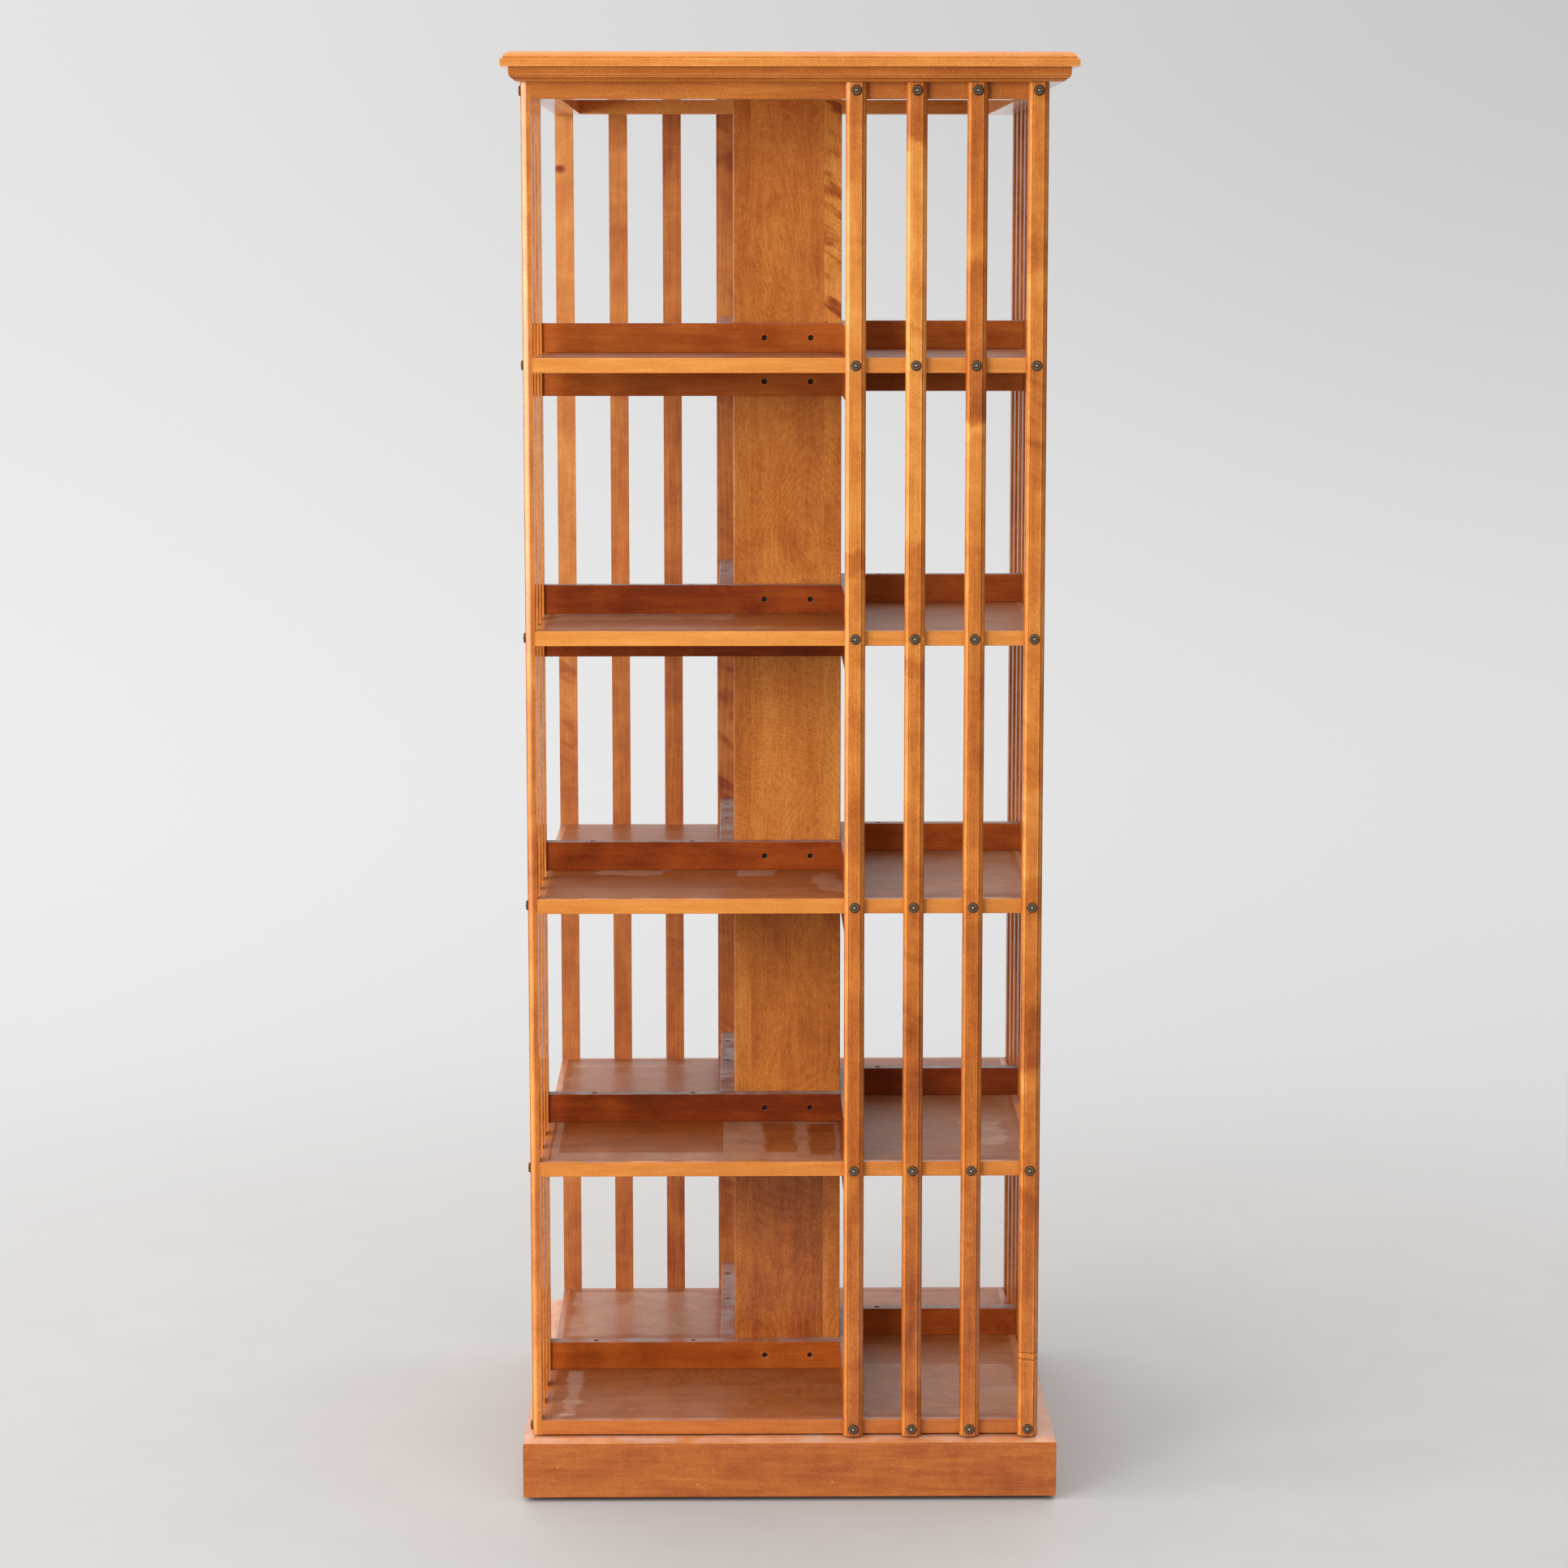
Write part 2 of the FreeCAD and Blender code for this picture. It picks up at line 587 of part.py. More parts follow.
def rail_length(name, heads_up):
    """A rail as it stands in front of the column, its front face on the body's own XZ plane."""
    body = start_body(name, node=False)
    section = add_sketch(body, "XY_Plane")
    add_rectangle(section, "-case_half", "column_half", "0", "rail_thickness")
    bar = pad(body, section, "rail_height")
    bar = ease(body, bar, "edge_ease",
               lambda point: near(point.y, 0) or near(point.y, VALUES["rail_thickness"]), axis="x")
    to_column = add_sketch(body, "XZ_Plane")
    for sign in ("", "-"):
        add_circle(to_column, f"{sign}column_screw_spacing / 2", UPPER_RAIL_SCREW, "screw_radius")
    to_shelf = add_sketch(body, "XY_Plane", "rail_height" if heads_up else "0")
    for place_along in (OUTER_SHELF_SCREW, INNER_SHELF_SCREW):
        add_circle(to_shelf, f"-{place_along}", "rail_thickness / 2", "screw_radius")
    doc.recompute()
    for sketch, reverse in ((to_column, False), (to_shelf, not heads_up)):
        hole = body.newObject("PartDesign::Hole", f"{name}_hole")
        hole.Profile = sketch
        hole.Reversed = reverse
        hole.DepthType = "ThroughAll"
        hole.HoleCutType = "Counterbore"
        hole.HoleCutCustomValues = True
        bind(hole, "Diameter", f"2 * {RAIL_SCREW_HOLE}")
        bind(hole, "HoleCutDiameter", "2 * (screw_head + hole_play)")
        bind(hole, "HoleCutDepth", COUNTERBORE)
        doc.recompute()
    return body


def make_rails():
    """Every shelf has rails on top; all but the bottom shelf have rails underneath too."""
    upper = rail_length("upper_rail_length", heads_up=True)
    lower = rail_length("lower_rail_length", heads_up=False)
    for number, name in enumerate(SHELVES):
        rails = [(upper, dict(y=f"-{RAIL_FACE}", z=f"{level(number)} + shelf_thickness",
                              turns=turns)) for turns in range(len(SIDES))]
        if number > 0:
            rails += [(lower, dict(y=f"-{RAIL_FACE}", z=f"{level(number)} - rail_height",
                                   turns=turns)) for turns in range(len(SIDES))]
        add_group(f"{name}_rails", rails)


def screw_outline(along, across, length, forward, swap):
    """Half a sunk screw; the rail's face is at along, the screw's axis at across."""
    sign = "" if forward else "-"
    points = (("screw_sink", "0"), ("screw_sink", "screw_head"), (COUNTERBORE, "screw_head"),
              (COUNTERBORE, "screw_radius"), (f"({length} - screw_tip)", "screw_radius"),
              (length, "0"))
    corners = [(f"{along} + {sign}{a}", f"{across} + {b}") for a, b in points]
    return [(b, a) for a, b in corners] if swap else corners


def screw_batch(name, role, offset, outline, axis, spacing, levels):
    """One screw repeated along its rail, on each level and round the column."""
    body = start_body(name, node=False)
    half = add_sketch(body, role, offset)
    add_outline(half, outline)
    add_axis(half, *axis)
    revolve(body, half)
    straight_pattern(body, [], "X_Axis", spacing, 2)
    straight_pattern(body, [], "Z_Axis", "shelf_pitch", levels)
    round_pattern(body)
    doc.recompute()
    return body


def make_rail_screws():
    column_length = "(rail_thickness + column_bite)"
    shelf_length = "(rail_height + shelf_bite)"
    shelf_top = f"({level(0)} + shelf_thickness)"
    column_screws = []
    shelf_screws = []
    for name, screw_level, head, forward, levels in (
            ("upper", f"({shelf_top} + rail_height / 2)", f"({shelf_top} + rail_height)",
             False, LEVELS),
            ("lower", f"({level(1)} - rail_height / 2)", f"({level(1)} - rail_height)",
             True, LEVELS - 1)):
        column_screws.append(screw_batch(
            f"{name}_column_screws", "YZ_Plane", "-column_screw_spacing / 2",
            screw_outline(f"-{RAIL_FACE}", screw_level, column_length, True, False),
            ((f"-{RAIL_FACE}", screw_level), ("0", screw_level)),
            "column_screw_spacing", levels))
        shelf_screws.append(screw_batch(
            f"{name}_shelf_screws", "XZ_Plane", RAIL_LINE,
            screw_outline(head, f"-{OUTER_SHELF_SCREW}", shelf_length, forward, True),
            ((f"-{OUTER_SHELF_SCREW}", "0"), (f"-{OUTER_SHELF_SCREW}", head)),
            "shelf_screw_spacing", levels))
    add_group("rail_screws_to_column", [(batch, {}) for batch in column_screws])
    add_group("rail_screws_to_shelves", [(batch, {}) for batch in shelf_screws])


# ---------------------------------------------------------------- slats and their nails

def make_slats():
    """A slat's section is flat at the back and bevelled, with a small step, at the front."""
    half = "(slat_width / 2)"
    side = "-slat_side"
    face_edge = f"({half} - slat_bevel - slat_quirk)"
    section = [(half, "0"), (half, side),
               (f"({half} - slat_bevel)", "-(slat_thickness - slat_quirk)"),
               (face_edge, "-(slat_thickness - slat_quirk)"),
               (face_edge, "-slat_thickness")]
    section += [(f"-{x}", y) for x, y in reversed(section)]
    for turns, side_name in enumerate(SIDES):
        for number in range(SLATS_PER_SIDE):
            body = start_body(f"slat_{side_name}_{number + 1}", turns=turns, y="-case_half",
                              x=f"{FIRST_SLAT} + {number} * {SLAT_PITCH}", z=CASE_BASE)
            outline = add_sketch(body, "XY_Plane")
            add_outline(outline, section)
            pad(body, outline, f"{CORNICE_BASE} - {CASE_BASE} - slat_end_gap")
            for first, count in ((SHELF_NAIL, LEVELS), (FRAME_NAIL, 1)):
                hole = add_sketch(body, "XZ_Plane")
                add_circle(hole, "0", first, NAIL_HOLE)
                drilled = pocket(body, hole, symmetric=True)
                if count > 1:
                    straight_pattern(body, [drilled], "Z_Axis", "shelf_pitch", count)


def make_rosettes():
    """Dome-headed nails, one where each slat crosses a shelf edge or the top frame."""
    for turns, side_name in enumerate(SIDES):
        body = start_body(f"rosettes_{side_name}", turns=turns, y=f"-{SLAT_FACE}", z=CASE_BASE)
        for nail_level, levels in ((SHELF_NAIL, LEVELS), (FRAME_NAIL, 1)):
            half = add_sketch(body, "YZ_Plane", FIRST_SLAT)
            add_outline(half, (("-rosette_height", nail_level),
                               ("-rosette_height", f"{nail_level} + rosette_crown"),
                               ("-rosette_shoulder_height", f"{nail_level} + rosette_shoulder"),
                               ("-rosette_rim", f"{nail_level} + rosette_radius"),
                               ("0", f"{nail_level} + rosette_radius"),
                               ("0", f"{nail_level} + nail_radius"),
                               ("nail_length - 2 * nail_radius", f"{nail_level} + nail_radius"),
                               ("nail_length", nail_level)))
            add_axis(half, ("0", nail_level), ("nail_length", nail_level))
            nail = revolve(body, half)
            if levels > 1:
                straight_pattern(body, [nail], "Z_Axis", "shelf_pitch", levels)
        straight_pattern(body, [], "X_Axis", SLAT_PITCH, SLATS_PER_SIDE)


# ---------------------------------------------------------------- top

def make_top_frame():
    body, rail = mitred_board("frame_length", "case_half", "frame_width", "frame_height", False)
    face = VALUES["case_half"]
    ease(body, rail, "edge_ease", lambda point: near(point.y, -face) and near(point.z, 0), axis="x")
    holes = add_sketch(body, "XZ_Plane", "case_half")
    add_circle(holes, FIRST_SLAT, "frame_height / 2", NAIL_HOLE)
    drilled = pocket(body, holes, "nail_length - slat_thickness + hole_play")
    straight_pattern(body, [drilled], "X_Axis", SLAT_PITCH, SLATS_PER_SIDE)
    doc.recompute()
    add_ring_of_four("top_frame", body, z=FRAME_BASE)


def make_cornice():
    """A mitred moulding: fascia, two small steps with a bead between, and a bevel."""
    face = "(case_half + cornice_overhang)"
    inner = "(case_half - frame_width)"
    fascia_foot = "(cornice_height - cornice_fascia)"
    bead_face = f"({face} - cornice_step)"
    bevel_face = f"({bead_face} - cornice_step - cornice_bead / 2)"
    profile = ((f"-{face}", "cornice_height"),
               (f"-{face}", fascia_foot),
               (f"-{bead_face}", fascia_foot),
               (f"-({bead_face} - cornice_bead / 2)", f"{fascia_foot} - cornice_bead"),
               (f"-{bevel_face}", f"{fascia_foot} - cornice_bead"),
               (f"-({face} - cornice_bevel - cornice_step)", "0"),
               (f"-{inner}", "0"),
               (f"-{inner}", "cornice_height"))
    pattern = mitred_length("cornice_length", profile, face, f"({inner} - overcut)")
    add_ring_of_four("cornice", pattern, z=CORNICE_BASE)


def make_top_board():
    """A square board whose upper edge is stepped and rounded on all four sides."""
    body = start_body("top_board", z=BOARD_BASE)
    square = add_sketch(body, "XY_Plane")
    add_square(square, BOARD_HALF)
    board = pad(body, square, "board_thickness")
    half = VALUES["case_half"] + VALUES["board_overhang"]
    ease(body, board, "edge_ease",
         lambda point: near(point.z, 0) and near(max(abs(point.x), abs(point.y)), half))

    step_edge = f"({BOARD_HALF} - board_step)"
    top_edge = f"({step_edge} - ovolo_width)"
    ovolo_foot = "(board_thickness - ovolo_height)"
    beyond = f"({BOARD_HALF} + overcut)"
    above = "(board_thickness + overcut)"
    waste = add_sketch(body, "YZ_Plane")
    corners = ((top_edge, "board_thickness"), (top_edge, above), (beyond, above),
               (beyond, "board_edge"), (step_edge, "board_edge"), (step_edge, ovolo_foot))
    step, width, height, thickness, edge, overcut = [VALUES[alias] for alias in (
        "board_step", "ovolo_width", "ovolo_height", "board_thickness", "board_edge", "overcut")]
    guesses = [FreeCAD.Vector(*xy) for xy in (
        (half - step - width, thickness), (half - step - width, thickness + overcut),
        (half + overcut, thickness + overcut), (half + overcut, edge), (half - step, edge),
        (half - step, thickness - height))]
    for start, end in zip(guesses, guesses[1:]):
        waste.addGeometry(Part.LineSegment(start, end))
    radius = (width ** 2 + height ** 2) / (2 * height)
    centre = FreeCAD.Vector(half - step - width, thickness - radius)
    foot_angle = math.atan2(thickness - height - centre.y, width)
    circle = Part.Circle(centre, FreeCAD.Vector(0, 0, 1), radius)
    arc = waste.addGeometry(Part.ArcOfCircle(circle, foot_angle, math.pi / 2))
    for number, (corner, guess) in enumerate(zip(corners[:-1], guesses)):
        pin_point(waste, number, 1, *corner, guess)
    for number in range(arc - 1):
        waste.addConstraint(Sketcher.Constraint("Coincident", number, 2, number + 1, 1))
    waste.addConstraint(Sketcher.Constraint("Coincident", arc - 1, 2, arc, 1))
    waste.addConstraint(Sketcher.Constraint("Coincident", arc, 2, 0, 1))
    pin_point(waste, arc, 1, *corners[-1], guesses[-1])
    level_with = waste.addConstraint(Sketcher.Constraint("DistanceX", -1, 1, arc, 3, centre.x))
    bind(waste, f"Constraints[{level_with}]", top_edge)
    round_pattern(body, [pocket(body, waste, symmetric=True)])


# ---------------------------------------------------------------- build, check and export

def check_document():
    """Stop if any feature failed or any node's shape is missing or broken."""
    for item in doc.Objects:
        if "Invalid" in item.State or "Error" in item.State:
            raise RuntimeError(f"{item.Label} failed: {item.State}")
    for node in nodes:
        if node.Shape.isNull() or not node.Shape.isValid() or not node.Shape.Solids:
            raise RuntimeError(f"{node.Label} has no valid solid")


def export_nodes():
    os.makedirs("parts", exist_ok=True)
    for node in nodes:
        node.Shape.exportStep(f"parts/{node.Label}.step")
        print(f"{node.Label}: {len(node.Shape.Solids)} solids, {node.Shape.Volume / 1000:.1f} cm3")


def main():
    fill_sheet()
    make_plinth_boards()
    make_plinth_moulding()
    make_plinth_panel()
    make_corner_blocks()
    make_glides()
    make_turntable()
    make_shelf_boards()
    make_lippings()
    make_column()
    make_rails()
    make_rail_screws()
    make_slats()
    make_rosettes()
    make_top_frame()
    make_cornice()
    make_top_board()
    doc.recompute()
    check_document()
    export_nodes()


main()
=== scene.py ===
# %% [markdown]
# # A revolving bookcase
# The joinery comes from the CAD frame: every board, slat and rail is already there, at its true
# size and place. What Blender adds is what the eye judges: stained and lacquered birch with its own
# grain on every board, dust and rub marks on the shelves, cast flower-headed nails, cross-slotted
# screws, and quiet studio light. Start by loading the frame.

# %% Load the frame
import math

import bmesh
import bpy
from mathutils import Euler, Matrix, Vector


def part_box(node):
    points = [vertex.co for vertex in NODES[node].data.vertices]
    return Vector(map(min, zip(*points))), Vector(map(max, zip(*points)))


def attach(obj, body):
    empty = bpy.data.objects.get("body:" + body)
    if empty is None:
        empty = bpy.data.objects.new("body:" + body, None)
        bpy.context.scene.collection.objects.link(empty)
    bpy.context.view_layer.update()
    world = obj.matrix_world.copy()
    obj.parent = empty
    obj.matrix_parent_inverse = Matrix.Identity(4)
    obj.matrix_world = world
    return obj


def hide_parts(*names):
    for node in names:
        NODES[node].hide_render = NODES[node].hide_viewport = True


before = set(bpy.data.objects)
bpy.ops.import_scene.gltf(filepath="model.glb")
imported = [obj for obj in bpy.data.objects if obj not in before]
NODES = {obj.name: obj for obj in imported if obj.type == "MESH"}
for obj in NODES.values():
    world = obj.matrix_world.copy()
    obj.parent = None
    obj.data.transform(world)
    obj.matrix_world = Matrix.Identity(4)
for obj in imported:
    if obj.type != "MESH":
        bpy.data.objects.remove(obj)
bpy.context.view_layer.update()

SIDES = ("front", "right", "back", "left")
SHELVES = ("bottom_shelf", "shelf_1", "shelf_2", "shelf_3", "shelf_4")

# %% [markdown]
# Shader maths reads best as plain formulas. A `Wire` wraps one output of a node, and adding or
# multiplying wires lays down the Math nodes. Building node by node in the editor would give the
# same tree, but nobody could read the formula back from it.

# %% Wires: shader values in Python formulas
class Wire:
    """One output of a shader node; arithmetic on it adds Math nodes to its finish."""

    def __init__(self, finish, socket):
        self.finish = finish
        self.socket = socket

    def out(self, name):
        """Another output of the same node."""
        return Wire(self.finish, self.socket.node.outputs[name])

    def __add__(self, other):
        return self.finish.maths("ADD", self, other)

    def __sub__(self, other):
        return self.finish.maths("SUBTRACT", self, other)

    def __rsub__(self, other):
        return self.finish.maths("SUBTRACT", other, self)

    def __mul__(self, other):
        return self.finish.maths("MULTIPLY", self, other)

    def __gt__(self, other):
        return self.finish.maths("GREATER_THAN", self, other)

    def __lt__(self, other):
        return self.finish.maths("LESS_THAN", self, other)

    def __abs__(self):
        return self.finish.maths("ABSOLUTE", self)

    def __pow__(self, other):
        return self.finish.maths("POWER", self, other)

    __radd__ = __add__
    __rmul__ = __mul__


print("wires can be added, subtracted, multiplied, raised to a power and compared")

# %% [markdown]
# A `Finish` is the material, or the sky, that the wires belong to. One method adds any node, and
# the others are short names for the nodes that wood needs again and again. The last one is the
# shader itself, which takes the finished wires under the names of its sockets.

# %% Finishes: materials in the making
class Finish:
    """A material, or the sky, in the making."""

    def __init__(self, owner):
        self.owner = owner
        owner.use_nodes = True
        self.tree = owner.node_tree
        self.tree.nodes.clear()

    def node(self, kind, settings=None, inputs=None):
        """Add a node: first its settings, then what its sockets hold or are linked to."""
        node = self.tree.nodes.new(kind)
        for name, value in (settings or {}).items():
            if name == "stops":
                while len(node.color_ramp.elements) < len(value):
                    node.color_ramp.elements.new(1.0)
                for stop, (position, colour) in zip(node.color_ramp.elements, value):
                    stop.position = position
                    stop.color = (*colour, 1.0)
            else:
                setattr(node, name, value)
        for name, value in (inputs or {}).items():
            socket = node.inputs[name]
            if isinstance(value, Wire):
                self.tree.links.new(value.socket, socket)
            else:
                socket.default_value = value
        outputs = [output for output in node.outputs if output.enabled]
        return Wire(self, outputs[0]) if outputs else None

    def maths(self, operation, *values):
        return self.node("ShaderNodeMath", {"operation": operation}, dict(enumerate(values)))

    def smooth(self, value, low, high):
        """0 below low, 1 above high and an easy slope between."""
        return self.node("ShaderNodeMapRange", {"interpolation_type": "SMOOTHSTEP"},
                         {"Value": value, "From Min": low, "From Max": high})

    def vector(self, x, y, z):
        return self.node("ShaderNodeCombineXYZ", {}, {"X": x, "Y": y, "Z": z})

    def noise(self, vector, scale=1.0, detail=2.0, roughness=0.5, distortion=0.0):
        return self.node("ShaderNodeTexNoise", {}, {
            "Vector": vector, "Scale": scale, "Detail": detail, "Roughness": roughness,
            "Distortion": distortion})

    def mix(self, factor, first, second):
        """Blend two colours, which are sockets 6 and 7 of a Mix node."""
        return self.node("ShaderNodeMix", {"data_type": "RGBA"}, {0: factor, 6: first, 7: second})

    def surface(self, normal=None, **inputs):
        """The shader itself; names with underscores stand for its sockets."""
        sockets = {name.replace("_", " "): value for name, value in inputs.items()}
        if normal:
            sockets["Normal"] = normal
        shader = self.node("ShaderNodeBsdfPrincipled", {}, sockets)
        self.node("ShaderNodeOutputMaterial", {}, {"Surface": shader})
        return self.owner


def new_finish(name):
    """A finish for a new material, and the place of a point in metres as three wires."""
    finish = Finish(bpy.data.materials.new(name))
    finish.place = finish.node("ShaderNodeTexCoord").out("Object")
    split = finish.node("ShaderNodeSeparateXYZ", {}, {"Vector": finish.place})
    return finish, (split.out("X"), split.out("Y"), split.out("Z"))


print("a finish starts empty and grows one node at a time")

# %% [markdown]
# Grain follows the board: upright in a slat, along the front in a front rail. The frame's nodes
# keep their place in their mesh, so Object coordinates are metres in the room. Where one node
# holds the four lengths of a mitred frame, or the pinwheel of rails, a mask swaps x and y, and
# every length also gets its own shift along the grain, so no two show the same figure.

# %% Which way the grain runs
# the rails' inner and outer faces, from the axis of the case, and what still counts as on them
RAIL_INNER = 0.062
RAIL_OUTER = 0.079
FACE_SLACK = 0.0002
END_SLACK = 0.0001
FAR_ALONG = 3.7


def grain_upright(finish, here):
    x, y, z = here
    return z, x, y


def grain_along_x(finish, here):
    return here


def grain_along_y(finish, here):
    x, y, z = here
    return y, x, z


def swap_where(finish, here, lies_along_x):
    """Along and across the grain; lengths lie along x where the mask is 1, else along y."""
    x, y, z = here
    along = y + lies_along_x * (x - y)
    across = x + lies_along_x * (y - x)
    own_shift = (across > 0) * FAR_ALONG + lies_along_x * (2 * FAR_ALONG)
    return along + own_shift, across, z


def grain_mitred(finish, here):
    x, y, z = here
    return swap_where(finish, here, abs(y) > abs(x))


def grain_pinwheel(finish, here):
    """A rail lies along x in its own strip, up to where the next rail begins."""
    x, y, z = here
    in_strip = finish.maths("COMPARE", abs(y), (RAIL_INNER + RAIL_OUTER) / 2,
                            (RAIL_OUTER - RAIL_INNER) / 2 + FACE_SLACK)
    short_of_next = x * finish.maths("SIGN", y) > -RAIL_INNER - END_SLACK
    return swap_where(finish, here, in_strip * short_of_next)


print("grain runs upright, along x, along y, round a mitred frame or round the pinwheel")

# %% [markdown]
# Birch is plain at arm's length and busy close to: growth bands, silky fibre streaks, short dark
# pores, cloudy stain and bars across the grain. An image texture would repeat and stretch over
# these long boards, so each layer is a noise at its own scale, drawn out along the grain. The
# honey stain is a ramp of five colours, from where it soaked in deeply to where the wood stayed
# bare.

# %% Figure and stain
#         noise cells per metre along and across the grain, then detail, distortion and offset
LAYERS = {"wander": (1.6, 7.0, 2.0, 0.0, 0.0),
          "fibre": (34.0, 420.0, 2.0, 0.0, 0.0),
          "streak": (7.0, 90.0, 2.0, 0.3, 5.0),
          "fleck": (360.0, 800.0, 2.0, 0.4, 3.0),
          "pore": (260.0, 900.0, 1.0, 0.0, 0.0),
          "cloud": (9.0, 24.0, 3.0, 0.6, 9.0),
          "cross bar": (34.0, 20.0, 3.0, 0.8, 13.0),
          "curl patch": (4.5, 12.0, 1.0, 0.0, 21.0),
          "dust_and_reflection": (26.0, 26.0, 4.0, 0.6, 33.0)}
LAYER_ROUGHNESS = 0.58
HONEY = ((0.00, (0.110, 0.018, 0.003)),
         (0.28, (0.300, 0.066, 0.010)),
         (0.52, (0.500, 0.148, 0.022)),
         (0.74, (0.680, 0.258, 0.048)),
         (1.00, (0.880, 0.450, 0.138)))
HAZE = (0.550, 0.385, 0.295, 1.0)
print(len(LAYERS), "layers of figure and", len(HONEY), "stops of honey stain")

# %% [markdown]
# Three kinds of figure need more than a stretched noise. Growth rings run round the pith, a wavy
# line that each board was sawn at its own distance from. Curl is a ripple of light and dark where
# the fibres wave. Contours are the nested lines that a peeled veneer, or a plain-sawn board,
# shows where the cut skims along a ring.

# %% Rings, curl and contours
RINGS_PER_METRE = 230.0
PITH_DEPTH = 0.045
CURL_FADE = 0.03
CONTOURS_IN_FIELD = 520.0


def growth_rings(finish, across, depth, wander, seed):
    pith = finish.vector(0.0, across + wander * 0.030 + math.sin(seed * 2.1) * 0.05,
                         depth + wander * 0.018 + PITH_DEPTH + 0.02 * math.cos(seed * 1.3))
    radius = finish.node("ShaderNodeVectorMath", {"operation": "LENGTH"}, {0: pith}).out("Value")
    rings = finish.node("ShaderNodeTexNoise", {"noise_dimensions": "1D"},
                        {"W": radius * RINGS_PER_METRE + seed, "Detail": 2.5, "Roughness": 0.6})
    return rings - 0.5


def curl_ripples(finish, along, across, depth, patch, share, height, lowest):
    """Ripples that slant over the board, in patches that grow with the share of curl."""
    down_the_wave = finish.vector(along * 62.0 + across * 38.0, across * 17.0 - along * 8.0,
                                  depth * 17.0)
    wave = finish.noise(down_the_wave, 1.0, 2.0, 0.45, 0.25) - 0.5
    patch = finish.smooth(patch, 0.10 - 0.4 * share, 0.30 - 0.4 * share)
    patch = patch * finish.smooth(height, lowest - CURL_FADE, lowest + CURL_FADE)
    return (0.08 - finish.smooth(wave, -0.03, 0.18) * 0.48) * patch * share ** 0.8


def contour_lines(finish, along, across, depth, fibre, fleck):
    field = finish.noise(finish.vector(along * 3.6, across * 5.2, depth), 1.0, 1.0, 0.4, 0.3)
    return finish.maths("SINE", field * CONTOURS_IN_FIELD + fibre * 5.0 + fleck * 4.0)


print("growth rings lie about", round(1000.0 / RINGS_PER_METRE, 1), "mm apart")

# %% [markdown]
# The finish adds the layers up to one value, from 0 dark to 1 pale, and the ramp turns that into
# stain. A `mark` takes its own depth of tone off the value, for runs and knots, and for painted
# shade, shadow lines and highlights.
# Faces that look up gather a dull haze of dust, and a `film` lays patches of it; on the rails' tops
# and at the back of the shelves the haze is also a painted reflection of the bright wall. The clear
# lacquer is the shader's coat, which is weaker where dust lies.

# %% Birch under stain and lacquer
FIBRE_DEPTH = 0.18
STREAK_DEPTH = 0.26
PORE_DEPTH = 0.10
WOOD_ROUGHNESS = 0.46
BOARD_STEP = 1.37


def birch(name, grain, seed, tone=0.5, cloud=0.20, curl=0.0, curl_from=0.0, bars=0.10, growth=0.20,
          contours=0.0, haze=0.12, dust_and_reflection=HAZE, gloss=0.75, sheen=0.16, mottle=0.42, stops=HONEY,
          mark=None, film=None):
    """Stained and lacquered birch, from tone 0, dark, to tone 1, pale.

    Cloud, bars, growth, contours and mottle are depths of tone; curl, haze and gloss are shares;
    sheen is the roughness of the lacquer; mark and film are functions that paint by place.
    """
    finish, here = new_finish(name)
    along, across, depth = grain(finish, here)
    along = along + seed * BOARD_STEP

    def layer(kind):
        """Noise from -0.5 to 0.5, drawn out along the grain."""
        stretch, width, detail, distortion, offset = LAYERS[kind]
        spot = finish.vector(along * stretch + offset, across * width, depth * width)
        return finish.noise(spot, 1.0, detail, LAYER_ROUGHNESS, distortion) - 0.5

    rings = growth_rings(finish, across, depth, layer("wander"), seed)
    fibre = layer("fibre")
    fleck = layer("fleck")
    clouds = layer("cloud")
    pores = finish.smooth(layer("pore"), 0.14, 0.26)
    value = (tone + rings * growth + clouds * (2.0 * cloud) + layer("cross bar") * (2.0 * bars)
             + layer("streak") * STREAK_DEPTH + fibre * FIBRE_DEPTH + fleck * mottle
             - pores * PORE_DEPTH)
    if curl:
        value = value + curl_ripples(finish, along, across, depth, layer("curl patch"), curl,
                                     here[2], curl_from)
    if contours:
        value = value + contour_lines(finish, along, across, depth, fibre, fleck) * contours
    if mark:
        value = value - mark(finish, here)
    colour = finish.node("ShaderNodeValToRGB", {"stops": stops}, {"Fac": value})

    facing = finish.node("ShaderNodeNewGeometry").out("Normal")
    upward = finish.node("ShaderNodeSeparateXYZ", {}, {"Vector": facing}).out("Z")
    lying = finish.smooth(upward, 0.55, 0.95)
    settled = layer("dust_and_reflection")
    cover = finish.smooth(settled, -0.30, 0.35) * haze
    if film:
        cover = finish.maths("MAXIMUM", cover + film(finish, here, settled), 0.0)
    cover = lying * cover
    relief = fibre * 0.5 + fleck * 0.2 - pores
    bump = finish.node("ShaderNodeBump", {},
                       {"Strength": 0.12, "Distance": 0.0005, "Height": relief})
    return finish.surface(bump, Base_Color=finish.mix(cover, colour, dust_and_reflection),
                          Roughness=WOOD_ROUGHNESS + clouds * 0.12, Specular_IOR_Level=0.15,
                          Coat_Weight=gloss * (1.0 - cover * 0.5), Coat_Roughness=sheen,
                          Coat_IOR=1.45)


def dress(node, material):
    """Give a CAD node its finish."""
    for slot in NODES[node].material_slots:
        slot.material = material


print("birch can be laid over", len(NODES), "nodes, each with its own seed")
